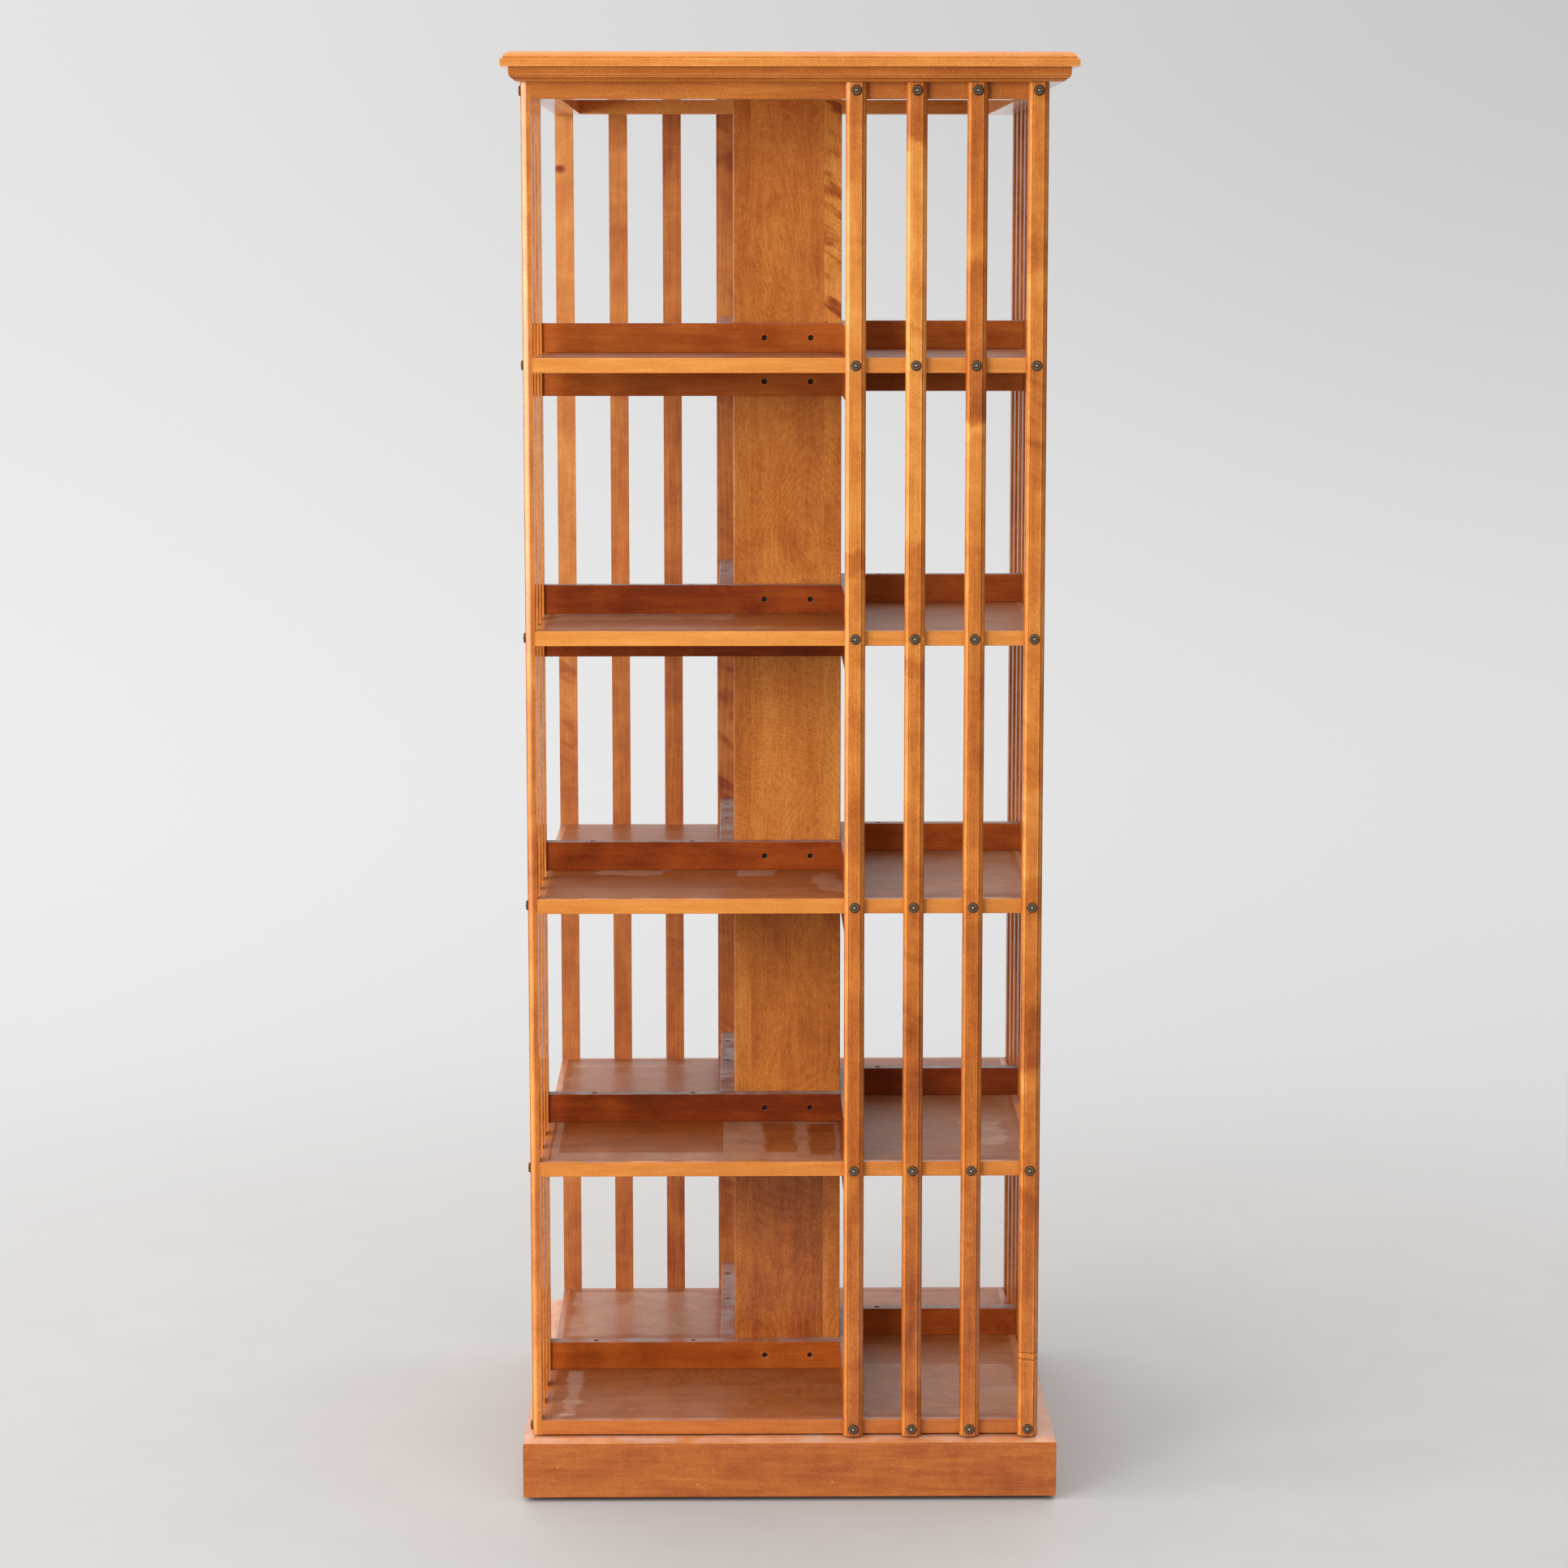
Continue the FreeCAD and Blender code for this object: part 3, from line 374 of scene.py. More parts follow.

# %% [markdown]
# The sixteen slats were cut from different boards, so each gets its own tone and share of curl.
# Stain also soaked in by stretches: a slat turns red-brown for a hand's length and then ends in a
# pale ring. Such runs are few and irregular, so they are listed one by one. The slats of the back
# take the same stain colours with less red and more blue.

# %% Tones, runs, knots and cracks of the slats
#                         tone at the top and at the foot of slats 1 to 4; the drop to the foot and
#                         the low right side are painted shade
SLAT_TONES_WITH_PAINTED_SHADE = {"front": ((0.64, 0.38), (0.71, 0.36), (0.60, 0.39), (0.57, 0.43)),
              "right": ((0.34, 0.32), (0.40, 0.36), (0.33, 0.36), (0.40, 0.36)),
              "back": ((0.60, 0.45), (0.52, 0.41), (0.58, 0.43), (0.70, 0.44)),
              "left": ((0.62, 0.50), (0.58, 0.52), (0.52, 0.54), (0.50, 0.46))}
SLAT_CURL = {("front", 2): 0.22, ("front", 4): 0.20, ("back", 1): 0.45, ("back", 4): 0.30}
#             foot, head and depth of tone of a run; the depth is below 0 where the wood stayed pale
SLAT_RUNS = {("front", 1): ((1.470, 1.570, 0.10), (1.048, 1.071, 0.20)),
             ("front", 2): ((1.512, 1.600, 0.28), (0.976, 1.084, 0.16), (0.932, 0.957, 0.16),
                            (0.458, 0.583, 0.09), (0.100, 0.125, 0.12)),
             ("front", 3): ((1.218, 1.600, 0.15), (1.218, 1.296, 0.09), (1.386, 1.414, -0.12),
                            (1.201, 1.214, -0.16), (1.140, 1.200, -0.05), (0.890, 0.940, 0.10)),
             ("front", 4): ((1.377, 1.412, 0.13), (0.711, 0.806, -0.14), (0.495, 0.564, 0.13),
                            (0.470, 0.490, -0.08)),
             ("back", 1): ((1.500, 1.520, 0.18),), ("back", 2): ((0.300, 0.345, 0.16),)}
#              height, reach, depth of tone and place sideways of a knot
SLAT_KNOTS = {("back", 4): (1.497, 0.007, 0.55, -0.006)}
#              height, half width and depth of tone of the cracks in a mended slat
SLAT_CRACKS = {("front", 4): ((0.1690, 0.0010, 0.24), (0.1660, 0.0016, -0.08),
                              (0.1612, 0.0010, 0.28), (0.1585, 0.0016, -0.08))}
BLUER_HONEY = tuple((level, (0.96 * red, 1.03 * green, 1.2 * blue + 0.012))
                 for level, (red, green, blue) in HONEY)
print("runs of stain:", sum(len(runs) for runs in SLAT_RUNS.values()))

# %% [markdown]
# A mark is painted by formula: a line is dark where a value is close to a level, such as the
# distance from the slat's middle, and a run lies between two heights. Noise on the height frays
# both. Along a bevel, lines paint the shadow in the corner and the highlight on the bevel beside
# it, and that is most of what makes a slat look cut and handled.

# %% Marks on a slat
SLAT_FACE = -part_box("slat_front_1")[0].y
SLAT_HALF = 0.01125
FACE_EDGE = 0.00615
BEVEL_DEPTH = 0.0055
RUN_END = 0.006
# painted shade on the right bevels, which face away from the key light
RIGHT_BEVEL_PAINTED_SHADE = 0.07
#                           distance from the slat's middle, width and depth of tone: above 0 a
#                           painted shadow line, below 0 a painted highlight
BEVEL_SHADOWS_AND_HIGHLIGHTS = ((FACE_EDGE + 0.0004, 0.0005, 0.20), (FACE_EDGE - 0.0005, 0.0008, -0.12),
               (FACE_EDGE + 0.0025, 0.0019, -0.20), (SLAT_HALF, 0.0010, 0.22))


def middle(node):
    low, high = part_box(node)
    return (low + high) / 2


def line(finish, value, level, width):
    """1 on a thin line where the value is at the level, and 0 beside it."""
    return 1 - finish.smooth(abs(value - level), 0.3 * width, width)


def lines(finish, value, rows):
    """Depth of tone of several lines; each row is a level, a width and a depth."""
    return sum(line(finish, value, level, width) * depth for level, width, depth in rows)


def stained_runs(finish, here, runs):
    height = here[2] + (finish.noise(finish.place, 70.0) - 0.5) * 0.030
    total = 0.0
    for foot, head, depth in runs:
        inside = (finish.smooth(height, foot - RUN_END, foot + RUN_END)
                  - finish.smooth(height, head - RUN_END, head + RUN_END))
        total = total + inside * depth
    return total


def knot(finish, height, beside, level, reach, depth, sideways):
    near = finish.maths("SQRT", (height - level) ** 2 + ((beside - sideways) * 0.7) ** 2)
    return (1 - finish.smooth(near, 0.2 * reach, reach)) * depth


def slat_mark(side, number, shade_to_foot):
    """Painted shade down the slat, painted shadow lines and highlights along its bevels, and its
    runs, knot and cracks.
    """
    key = (side, number)

    def mark(finish, here):
        across, outward = (0, 1) if side in ("front", "back") else (1, 0)
        beside = here[across] - middle(f"slat_{side}_{number}")[across]
        on_face = abs(here[outward]) > SLAT_FACE - BEVEL_DEPTH
        # painted shade: darker towards the foot
        marks = ((1 - finish.smooth(here[2], 0.3, 1.4)) * shade_to_foot
                 # painted shadow lines and highlights along the bevels
                 + on_face * lines(finish, abs(beside), BEVEL_SHADOWS_AND_HIGHLIGHTS))
        # painted shade on the right bevels of the front slats
        if side == "front":
            marks = marks + (beside > FACE_EDGE) * RIGHT_BEVEL_PAINTED_SHADE
        if key in SLAT_RUNS:
            marks = marks + stained_runs(finish, here, SLAT_RUNS[key])
        ragged = (finish.noise(finish.place, 90.0) - 0.5) * 0.010
        if key in SLAT_KNOTS:
            marks = marks + knot(finish, here[2] + ragged, beside, *SLAT_KNOTS[key])
        if key in SLAT_CRACKS:
            marks = marks + lines(finish, here[2] + ragged * 0.6, SLAT_CRACKS[key])
        return marks
    return mark


print("slat faces lie", round(SLAT_FACE, 4), "m from the axis")

# %% [markdown]
# Now every slat is dressed. The lacquer of the right side is worn thin, and its slats are painted
# darker for the shade inside the case; the back is plainer and bluer.

# %% Slats
for turn, side in enumerate(SIDES):
    for number, (top_tone, shaded_foot_tone) in enumerate(SLAT_TONES_WITH_PAINTED_SHADE[side], start=1):
        dress(f"slat_{side}_{number}",
              birch(f"slat {side} {number}", grain_upright, 4 * turn + number, top_tone,
                    cloud=0.24, bars=0.17, curl=SLAT_CURL.get((side, number), 0.0),
                    gloss=0.15 if side == "right" else 0.75,
                    mottle=0.30 if side == "back" else 0.42,
                    stops=BLUER_HONEY if side == "back" else HONEY,
                    mark=slat_mark(side, number, top_tone - shaded_foot_tone)))
print("slats dressed:", sum(len(tones) for tones in SLAT_TONES_WITH_PAINTED_SHADE.values()))

# %% [markdown]
# The column's boards are wide and plain-sawn, with cloudy stain; the narrow front and back boards
# are set between the side boards, whose edges show as two strips of another grain. Each board
# changes its tone at the shelves: painted shade, and painted light where the depth is below 0, tier
# by tier.

# %% Column
COLUMN_TONES = (0.53, 0.61, 0.50, 0.49)
COLUMN_CURL = (0.0, 1.0, 0.3, 0.0)
CURL_FROM = 1.27
#                               painted shade, as depth of tone, of the front, right, back and left
#                               boards, from the lowest tier up
COLUMN_TIER_PAINTED_SHADE = ((0.15, 0.04, -0.07, -0.02, -0.01), (0.08, 0.16, -0.01, 0.05, 0.00),
                 (0.10, 0.05, 0.00, 0.02, 0.00), (0.02, -0.07, -0.05, -0.05, -0.01))


def painted_tier_shade(depths):
    """Painted shade: one depth of tone per tier, with a step behind each shelf."""
    def mark(finish, here):
        total = depths[0]
        for shelf, below, above in zip(SHELVES[1:], depths, depths[1:]):
            total = total + (here[2] > middle(shelf).z) * (above - below)
        return total
    return mark


for turn, side in enumerate(SIDES):
    dress(f"column_{side}", birch(f"column {side}", grain_upright, 31 + turn, COLUMN_TONES[turn],
                                  cloud=0.20, growth=0.08, contours=0.03, mottle=0.48,
                                  curl=COLUMN_CURL[turn], curl_from=CURL_FROM,
                                  mark=painted_tier_shade(COLUMN_TIER_PAINTED_SHADE[turn])))
print("column boards dressed:", len(COLUMN_TONES))

# %% [markdown]
# Rails and shelves come from darker, redder stock. The rails stand on edge round the column; their
# top faces carry a grey film that is dust and painted reflection, and a paler ring is painted round
# every hole of the screws that go into the column. The back rails, seen past the column, carry
# painted shade and light, tier by tier.

# %% Rails
RUSSET = ((0.00, (0.070, 0.009, 0.001)),
          (0.30, (0.190, 0.027, 0.002)),
          (0.55, (0.340, 0.066, 0.006)),
          (0.78, (0.500, 0.130, 0.017)),
          (1.00, (0.640, 0.230, 0.050)))
RAIL_TONES = (0.56, 0.30, 0.41, 0.38, 0.65)
# painted shade on the back rails of each shelf, and painted light where below 0
BACK_RAIL_PAINTED_SHADE = (0.13, 0.03, -0.10, -0.13, -0.01)
RAIL_HEIGHT = 0.033
SCREW_BESIDE = 0.0265
#          radius, width and depth of tone
HOLE_RIM = (0.0037, 0.0009, -0.14)
BACK_RAIL_FROM = RAIL_INNER - 0.0005
# grey dust on the rails' tops, which also paints their reflection of the bright wall
GREY_DUST_AND_REFLECTION = (0.330, 0.320, 0.320, 1.0)


def rail_mark(shelf, back_rail_painted_shade):
    """Painted shade and light on the back rails, tier by tier, and a paler ring round each screw
    hole.
    """
    def mark(finish, here):
        on_back_rail = (here[1] > BACK_RAIL_FROM) * (here[0] > -RAIL_INNER)
        low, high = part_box(shelf)
        beside = finish.maths("MINIMUM", abs(here[0]), abs(here[1])) - SCREW_BESIDE
        above = finish.maths("MINIMUM", abs(here[2] - (high.z + RAIL_HEIGHT / 2)),
                             abs(here[2] - (low.z - RAIL_HEIGHT / 2)))
        from_hole = finish.maths("SQRT", beside ** 2 + above ** 2)
        return on_back_rail * back_rail_painted_shade + lines(finish, from_hole, (HOLE_RIM,))
    return mark


for number, (shelf, tone) in enumerate(zip(SHELVES, RAIL_TONES)):
    dress(f"{shelf}_rails",
          birch(f"rails {shelf}", grain_pinwheel, 41 + number, tone, cloud=0.30, bars=0.05,
                mottle=0.26, haze=1.10, dust_and_reflection=GREY_DUST_AND_REFLECTION, gloss=0.25, sheen=0.10, stops=RUSSET,
                mark=rail_mark(shelf, BACK_RAIL_PAINTED_SHADE[number])))
print("rails dressed on", len(SHELVES), "shelves")

# %% [markdown]
# Books and liners left a pale haze on the lacquer of the shelves, with clean rectangles where they
# stood. The wide patches at the back left are painted reflection of the bright wall, laid as haze,
# and the soft patch below 0 on shelf_3 is painted shade. Each patch is a rectangle with a ragged
# outline: the distance to its edge, roughened by noise, gives the mask. Painting the patches as an
# image would work too, but rectangles in a table stay sharp, and can be moved by changing a number.

# %% Haze on the shelves
def patches(*rectangles):
    """Each is x low, x high, y low, y high in mm, strength, and raggedness and softness in mm."""
    def film(finish, here, settled):
        total = 0.0
        for x_low, x_high, y_low, y_high, strength, ragged, soft in rectangles:
            wave = settled * (ragged / 1000.0)
            inside = finish.maths(
                "MINIMUM", (x_high - x_low) / 2000.0 - abs(here[0] - (x_high + x_low) / 2000.0),
                (y_high - y_low) / 2000.0 - abs(here[1] - (y_high + y_low) / 2000.0))
            share = finish.smooth(inside + wave, 0.0, soft / 1000.0) * (1.0 + settled * 1.6)
            total = total + share * strength
        return total
    return film


#   a strength below 0 is a clean place in the haze
SHELF_FILMS = {
    "bottom_shelf": patches((-260, -239, -262, -84, 0.30, 34, 5),
                            (-272, -240, -268, -252, 0.20, 24, 4),
                            (84, 268, -262, -60, 0.16, 26, 8), (84, 262, -68, -62, 0.25, 6, 2),
                            # the last patch here, at the back left, is painted reflection of the
                            # bright wall
                            (84, 268, 84, 262, 0.14, 20, 8), (-268, -84, 62, 262, 0.20, 20, 8)),
    "shelf_1": patches((-270, 59, -270, -80, 0.22, 4, 2), (-262, -74, -234, -79, -0.30, 3, 2),
                       (-30, 12, -236, -84, -0.26, 30, 6), (20, 56, -250, -90, -0.26, 26, 6),
                       (84, 268, -262, 60, 0.08, 12, 4), (200, 250, -200, -80, 0.18, 70, 4),
                       # the first patch here, at the back left, is painted reflection of the bright
                       # wall
                       (-268, -84, 62, 262, 0.12, 20, 8), (-262, -84, 229, 236, 0.25, 8, 2)),
    "shelf_2": patches((-220, -140, -118, -76, 0.32, 50, 4), (-58, -10, -128, -78, 0.30, 30, 4),
                       (30, 62, -230, -110, 0.24, 46, 3), (84, 268, -250, 60, 0.14, 20, 6),
                       (-262, 40, -262, -200, 0.06, 40, 10)),
    "shelf_3": patches((-268, -60, -150, -78, 0.22, 70, 5), (-268, 40, -262, -225, 0.16, 60, 5),
                       # the first patch here, soft and below 0, is painted shade
                       (-10, 62, -262, -84, -0.16, 60, 30), (-268, 60, -83, -76, 0.22, 8, 2),
                       (84, 268, -250, 60, 0.06, 30, 6)),
    "shelf_4": patches((-266, 56, -250, -80, 0.14, 60, 10), (84, 268, -250, 60, 0.05, 30, 6))}
print("shelves with a film of haze:", len(SHELF_FILMS))

# %% [markdown]
# A shelf is a veneered board inside four mitred strips of solid pale birch. The veneer was peeled
# round the log, which gives nested contour lines, and its stain is a cooler brown. The strips are
# honey-coloured on their fronts, and dark with dirt on top.

# %% Shelves
COCOA = ((0.00, (0.090, 0.014, 0.002)),
         (0.30, (0.190, 0.042, 0.006)),
         (0.55, (0.310, 0.085, 0.013)),
         (0.78, (0.450, 0.150, 0.028)),
         (1.00, (0.620, 0.260, 0.075)))
VENEER_TONES = (0.47, 0.41, 0.46, 0.49, 0.49)
LIPPING_TONES = (0.44, 0.60, 0.65, 0.70, 0.70)
BROWN_DUST = (0.300, 0.130, 0.085, 1.0)
for number, shelf in enumerate(SHELVES):
    dress(shelf, birch(f"veneer {shelf}", grain_along_x, 51 + number, VENEER_TONES[number],
                       cloud=0.14, growth=0.05, contours=0.05 if number == 0 else 0.04, haze=0.09,
                       gloss=0.22, sheen=0.24, stops=COCOA, film=SHELF_FILMS[shelf]))
    dress(f"{shelf}_lipping", birch(f"lipping {shelf}", grain_mitred, 61 + number,
                                    LIPPING_TONES[number], cloud=0.08, bars=0.03, growth=0.08,
                                    mottle=0.28, haze=1.30, dust_and_reflection=BROWN_DUST))
print("shelves dressed:", len(SHELVES), "boards, each with its edge strips")

# %% [markdown]
# The top board and its cornice are pale and golden. Their mouldings are CAD shapes already; what
# they lack is the shadow line in every quirk and the highlight on the edge beside it, painted as
# level lines at the heights where the profile turns.

# %% Top
#                                     height, width and depth of tone: above 0 a painted shadow
#                                         line, below 0 a painted highlight
TOP_BOARD_SHADOWS_AND_HIGHLIGHTS = ((1.5964, 0.0009, -0.16), (1.6040, 0.0009, -0.14), (1.6049, 0.0006, 0.25),
                   (1.6116, 0.0012, 0.10))
CORNICE_SHADOWS_AND_HIGHLIGHTS = ((1.5873, 0.0008, -0.20), (1.5865, 0.0006, 0.30), (1.5852, 0.0010, -0.14),
                 (1.5841, 0.0005, 0.30), (1.5812, 0.0010, -0.14))
INNER_FACES = 0.262
# paler inner faces: partly paler wood, partly painted light
PALE_WOOD_AND_PAINTED_LIGHT = -0.34


def level_lines(rows):
    def mark(finish, here):
        return lines(finish, here[2], rows)
    return mark


def paler_inside_with_painted_light(finish, here):
    """The frame's inner faces are made paler: partly paler wood, partly painted light where the
    lamps leave them in shade.
    """
    outward = finish.maths("MAXIMUM", abs(here[0]), abs(here[1]))
    return (outward < INNER_FACES) * PALE_WOOD_AND_PAINTED_LIGHT


dress("top_board", birch("top board", grain_along_x, 71, 0.66, cloud=0.12, bars=0.06,
                         mark=level_lines(TOP_BOARD_SHADOWS_AND_HIGHLIGHTS)))
dress("cornice", birch("cornice", grain_mitred, 72, 0.48, cloud=0.12, bars=0.04,
                       mark=level_lines(CORNICE_SHADOWS_AND_HIGHLIGHTS)))
dress("top_frame", birch("top frame", grain_mitred, 73, 0.50, cloud=0.14, bars=0.04, growth=0.10,
                         mark=paler_inside_with_painted_light))
print("lines along the top's mouldings:", len(TOP_BOARD_SHADOWS_AND_HIGHLIGHTS) + len(CORNICE_SHADOWS_AND_HIGHLIGHTS))

# %% [markdown]
# The plinth is browner than the case and takes the knocks: pale dust lies on its moulding, and
# small chips show on its front board. A chip is a box-shaped mask with soft ends. The panel and
# the blocks inside were left unstained.

# %% Plinth
PALE_DUST = (0.560, 0.420, 0.350, 1.0)
#         x and z in mm, half width and half height; the first is an upright scratch
KNOCKS = ((-86, 36, 0.3, 3.0), (-262, 40, 0.9, 0.8), (-104, 20, 1.4, 0.7), (48, 22, 1.0, 0.8),
          (130, 50, 0.7, 0.6))
KNOCK_DEPTH = 0.4


def knocks(finish, here):
    total = 0.0
    for x, z, half_width, half_height in KNOCKS:
        reach = finish.maths("MAXIMUM", abs(here[0] - x / 1000.0) * (1000.0 / half_width),
                             abs(here[2] - z / 1000.0) * (1000.0 / half_height))
        total = total - (1 - finish.smooth(reach, 0.5, 1.3)) * KNOCK_DEPTH
    return total


dress("plinth_moulding", birch("plinth moulding", grain_mitred, 74, 0.54, cloud=0.14, bars=0.04,
                               haze=0.66, dust_and_reflection=PALE_DUST))
for turn, side in enumerate(SIDES):
    dress(f"plinth_{side}",
          birch(f"plinth {side}", grain_along_y if turn % 2 else grain_along_x, 75 + turn, 0.35,
                cloud=0.12, bars=0.09, growth=0.06, mottle=0.28,
                mark=knocks if side == "front" else None))
dress("plinth_panel", birch("plinth panel", grain_along_x, 81, 0.9, cloud=0.10))
dress("plinth_corner_blocks", birch("corner blocks", grain_upright, 82, 0.9, cloud=0.10))
print("chips on the plinth:", len(KNOCKS))

# %% [markdown]
# The bought parts are hidden, but seen when the case is lifted or exploded: zinc-plated plates,
# steel balls in a nylon cage, and dark nylon glides. Metal is told from nylon by one socket,
# Metallic, and a faint noise in colour and roughness keeps both from looking computed.

# %% Turntable and glides
def darker(colour, share):
    return (*(share * part for part in colour), 1.0)


def plated_steel(name, colour, roughness, scale):
    """Zinc or steel with the faint mottle of its plating."""
    finish, here = new_finish(name)
    mottle = finish.noise(finish.place, scale, 4.0, 0.6)
    shade = finish.mix(mottle, darker(colour, 0.8), (*colour, 1.0))
    return finish.surface(Base_Color=shade, Metallic=1.0, Roughness=roughness + mottle * 0.12)


def moulded_nylon(name, colour, roughness):
    """Nylon with a fine moulded skin."""
    finish, here = new_finish(name)
    skin = finish.noise(finish.place, 900.0, 2.0, 0.5)
    bump = finish.node("ShaderNodeBump", {},
                       {"Strength": 0.1, "Distance": 0.0003, "Height": skin})
    shade = finish.mix(skin, darker(colour, 0.85), (*colour, 1.0))
    return finish.surface(bump, Base_Color=shade, Roughness=roughness + skin * 0.1)


ZINC = plated_steel("zinc plate", (0.62, 0.62, 0.60), 0.32, 60.0)
for node in ("turntable_lower_plate", "turntable_upper_plate"):
    dress(node, ZINC)
dress("turntable_balls", plated_steel("bearing steel", (0.70, 0.70, 0.72), 0.10, 400.0))
SCREW_STEEL = plated_steel("browned screw steel", (0.17, 0.13, 0.10), 0.38, 500.0)
for node in ("turntable_lower_screws", "turntable_upper_screws"):
    dress(node, SCREW_STEEL)
dress("turntable_cage", moulded_nylon("cage nylon", (0.78, 0.76, 0.70), 0.45))
dress("plinth_glides", moulded_nylon("glide nylon", (0.05, 0.045, 0.04), 0.55))
print("turntable and glides dressed")

# %% [markdown]
# Each slat is nailed at every shelf and at the top frame with a flower-headed nail of antiqued
# brass. The head is lathe-like, but its height also waves round the axis: twelve petals round a
# boss. A grid of rings and spokes holds that shape with few faces, where a sculpted head would
# need many times more.

# %% Flower-headed nails
PETALS = 12
SPOKES_PER_PETAL = 6
HEAD_RADIUS = 0.0059
HEAD_HEIGHT = 0.0032
#            radius share, height share, depth of the groove between petals
HEAD_RINGS = ((0.06, 0.84, 0.00), (0.12, 0.98, 0.00), (0.19, 0.97, 0.00), (0.25, 0.72, 0.00),
              (0.32, 0.58, 0.02), (0.44, 0.60, 0.08), (0.56, 0.68, 0.22), (0.68, 0.76, 0.40),
              (0.79, 0.72, 0.44), (0.89, 0.50, 0.28), (0.96, 0.28, 0.10), (1.00, 0.12, 0.00),
              (0.98, 0.00, 0.00))
BOSS_DIMPLE = 0.78
SCALLOP = 0.09


def flower_head(mesh, place):
    """Add one head to a bmesh; place carries the head's own frame, z outward, to the room."""
    spokes = PETALS * SPOKES_PER_PETAL
    rings = []
    for share, height, groove in HEAD_RINGS:
        ring = []
        for spoke in range(spokes):
            angle = 2 * math.pi * spoke / spokes
            petal = abs(math.cos(PETALS * angle / 2))
            scallop = 1.0 - SCALLOP * share ** 6 * (1.0 - petal)
            radius = HEAD_RADIUS * share * scallop
            z = HEAD_HEIGHT * (height - groove * (1.0 - petal) ** 2)
            spot = Vector((radius * math.cos(angle), radius * math.sin(angle), z))
            ring.append(mesh.verts.new(place @ spot))
        rings.append(ring)
    crown = mesh.verts.new(place @ Vector((0, 0, HEAD_HEIGHT * BOSS_DIMPLE)))
    back = mesh.verts.new(place @ Vector((0, 0, 0)))
    for spoke in range(spokes):
        following = (spoke + 1) % spokes
        mesh.faces.new((crown, rings[0][spoke], rings[0][following]))
        for inner, outer in zip(rings, rings[1:]):
            mesh.faces.new((inner[spoke], outer[spoke], outer[following], inner[following]))
        mesh.faces.new((rings[-1][spoke], back, rings[-1][following]))


print("a head has", len(HEAD_RINGS) * PETALS * SPOKES_PER_PETAL + 2, "points")

# %% [markdown]
# All heads of one side are one piece, which rides on the turning case and stands in for the CAD
# solids of that side's nails. Real nails are driven without looking, so every head is twisted by
# another angle. The brass is dark in its hollows and rubbed bright where it stands out most,
# which a formula can tell by the distance from the case's axis.

# %% Nailing the slats
TARNISHED = (0.055, 0.036, 0.024, 1.0)
RUBBED = (0.39, 0.280, 0.180, 1.0)


def new_piece(name, mesh, material, body, slot, *replaced):
    """Turn a bmesh into a smooth-shaded piece that rides on a body and stands for CAD nodes."""
    data = bpy.data.meshes.new(name)
    mesh.to_mesh(data)
    mesh.free()
    data.shade_smooth()
    data.materials.append(material)
    piece = bpy.data.objects.new(name, data)
    bpy.context.scene.collection.objects.link(piece)
    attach(piece, body)
    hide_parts(*replaced)
    print(name, len(data.polygons), "faces")
    return piece


def antiqued_brass():
    """Dark in the hollows and rubbed bright on the high parts."""
    finish, (x, y, z) = new_finish("antiqued brass")
    outward = finish.maths("MAXIMUM", abs(x), abs(y))
    tarnish = finish.noise(finish.place, 900.0, 3.0, 0.6)
    rubbed = finish.smooth(outward + tarnish * 0.0006, SLAT_FACE + 0.0020, SLAT_FACE + 0.0032)
    colour = finish.mix(rubbed, TARNISHED, RUBBED)
    return finish.surface(Base_Color=colour, Metallic=1.0, Roughness=0.50 - rubbed * 0.16)


BRASS = antiqued_brass()
# turns z, the way a head looks, to the front
OUTWARD = Matrix.Rotation(math.pi / 2, 4, "X")
heights = [middle(f"{shelf}_lipping").z for shelf in SHELVES] + [middle("top_frame").z]
for turn, side in enumerate(SIDES):
    mesh = bmesh.new()
    quarter = Matrix.Rotation(turn * math.pi / 2, 4, "Z")
    for number in range(1, 5):
        along = middle(f"slat_front_{number}").x
        for level, height in enumerate(heights):
            twist = Matrix.Rotation(0.7 * number + 1.1 * level + turn, 4, "Z")
            spot = Matrix.Translation((along, -SLAT_FACE, height))
            flower_head(mesh, quarter @ spot @ OUTWARD @ twist)
    new_piece(f"nail_heads_{side}", mesh, BRASS, "case", "antique_brass", f"rosettes_{side}")

# %% [markdown]
# The rails are held by screws sunk deep in counterbored holes, dark at a glance. The head is a
# dished disc with a cross-shaped recess: a ring of twelve points on the disc and a smaller ring
# below it are the whole of a cross slot. A Boolean cut would do the same with many more faces.

# %% A cross-slotted screw
# radii, and heights from the plane that the head is sunk to
SCREW_HEAD = 0.0032
HEAD_THICK = 0.0022
HEAD_TOP = -0.0001
HEAD_RIM = -0.0006
FLAT_SHARE = 0.80
SCREW_SHANK = 0.0020
SCREW_SINK = 0.0055
SLOT_REACH = 0.0021
SLOT_HALF = 0.00050
SLOT_DEPTH = 0.0013
SLOT_FOOT_SHARE = 0.6
SCREW_TIP = 0.004
POINT_SHARE = 0.1


def cross_outline(reach, half):
    """Twelve points round a cross: three at a corner, turned through four quarters."""
    corner = ((reach, -half), (reach, half), (half, half))
    return [(x * math.cos(a) - y * math.sin(a), x * math.sin(a) + y * math.cos(a))
            for a in (0, math.pi / 2, math.pi, 3 * math.pi / 2) for x, y in corner]


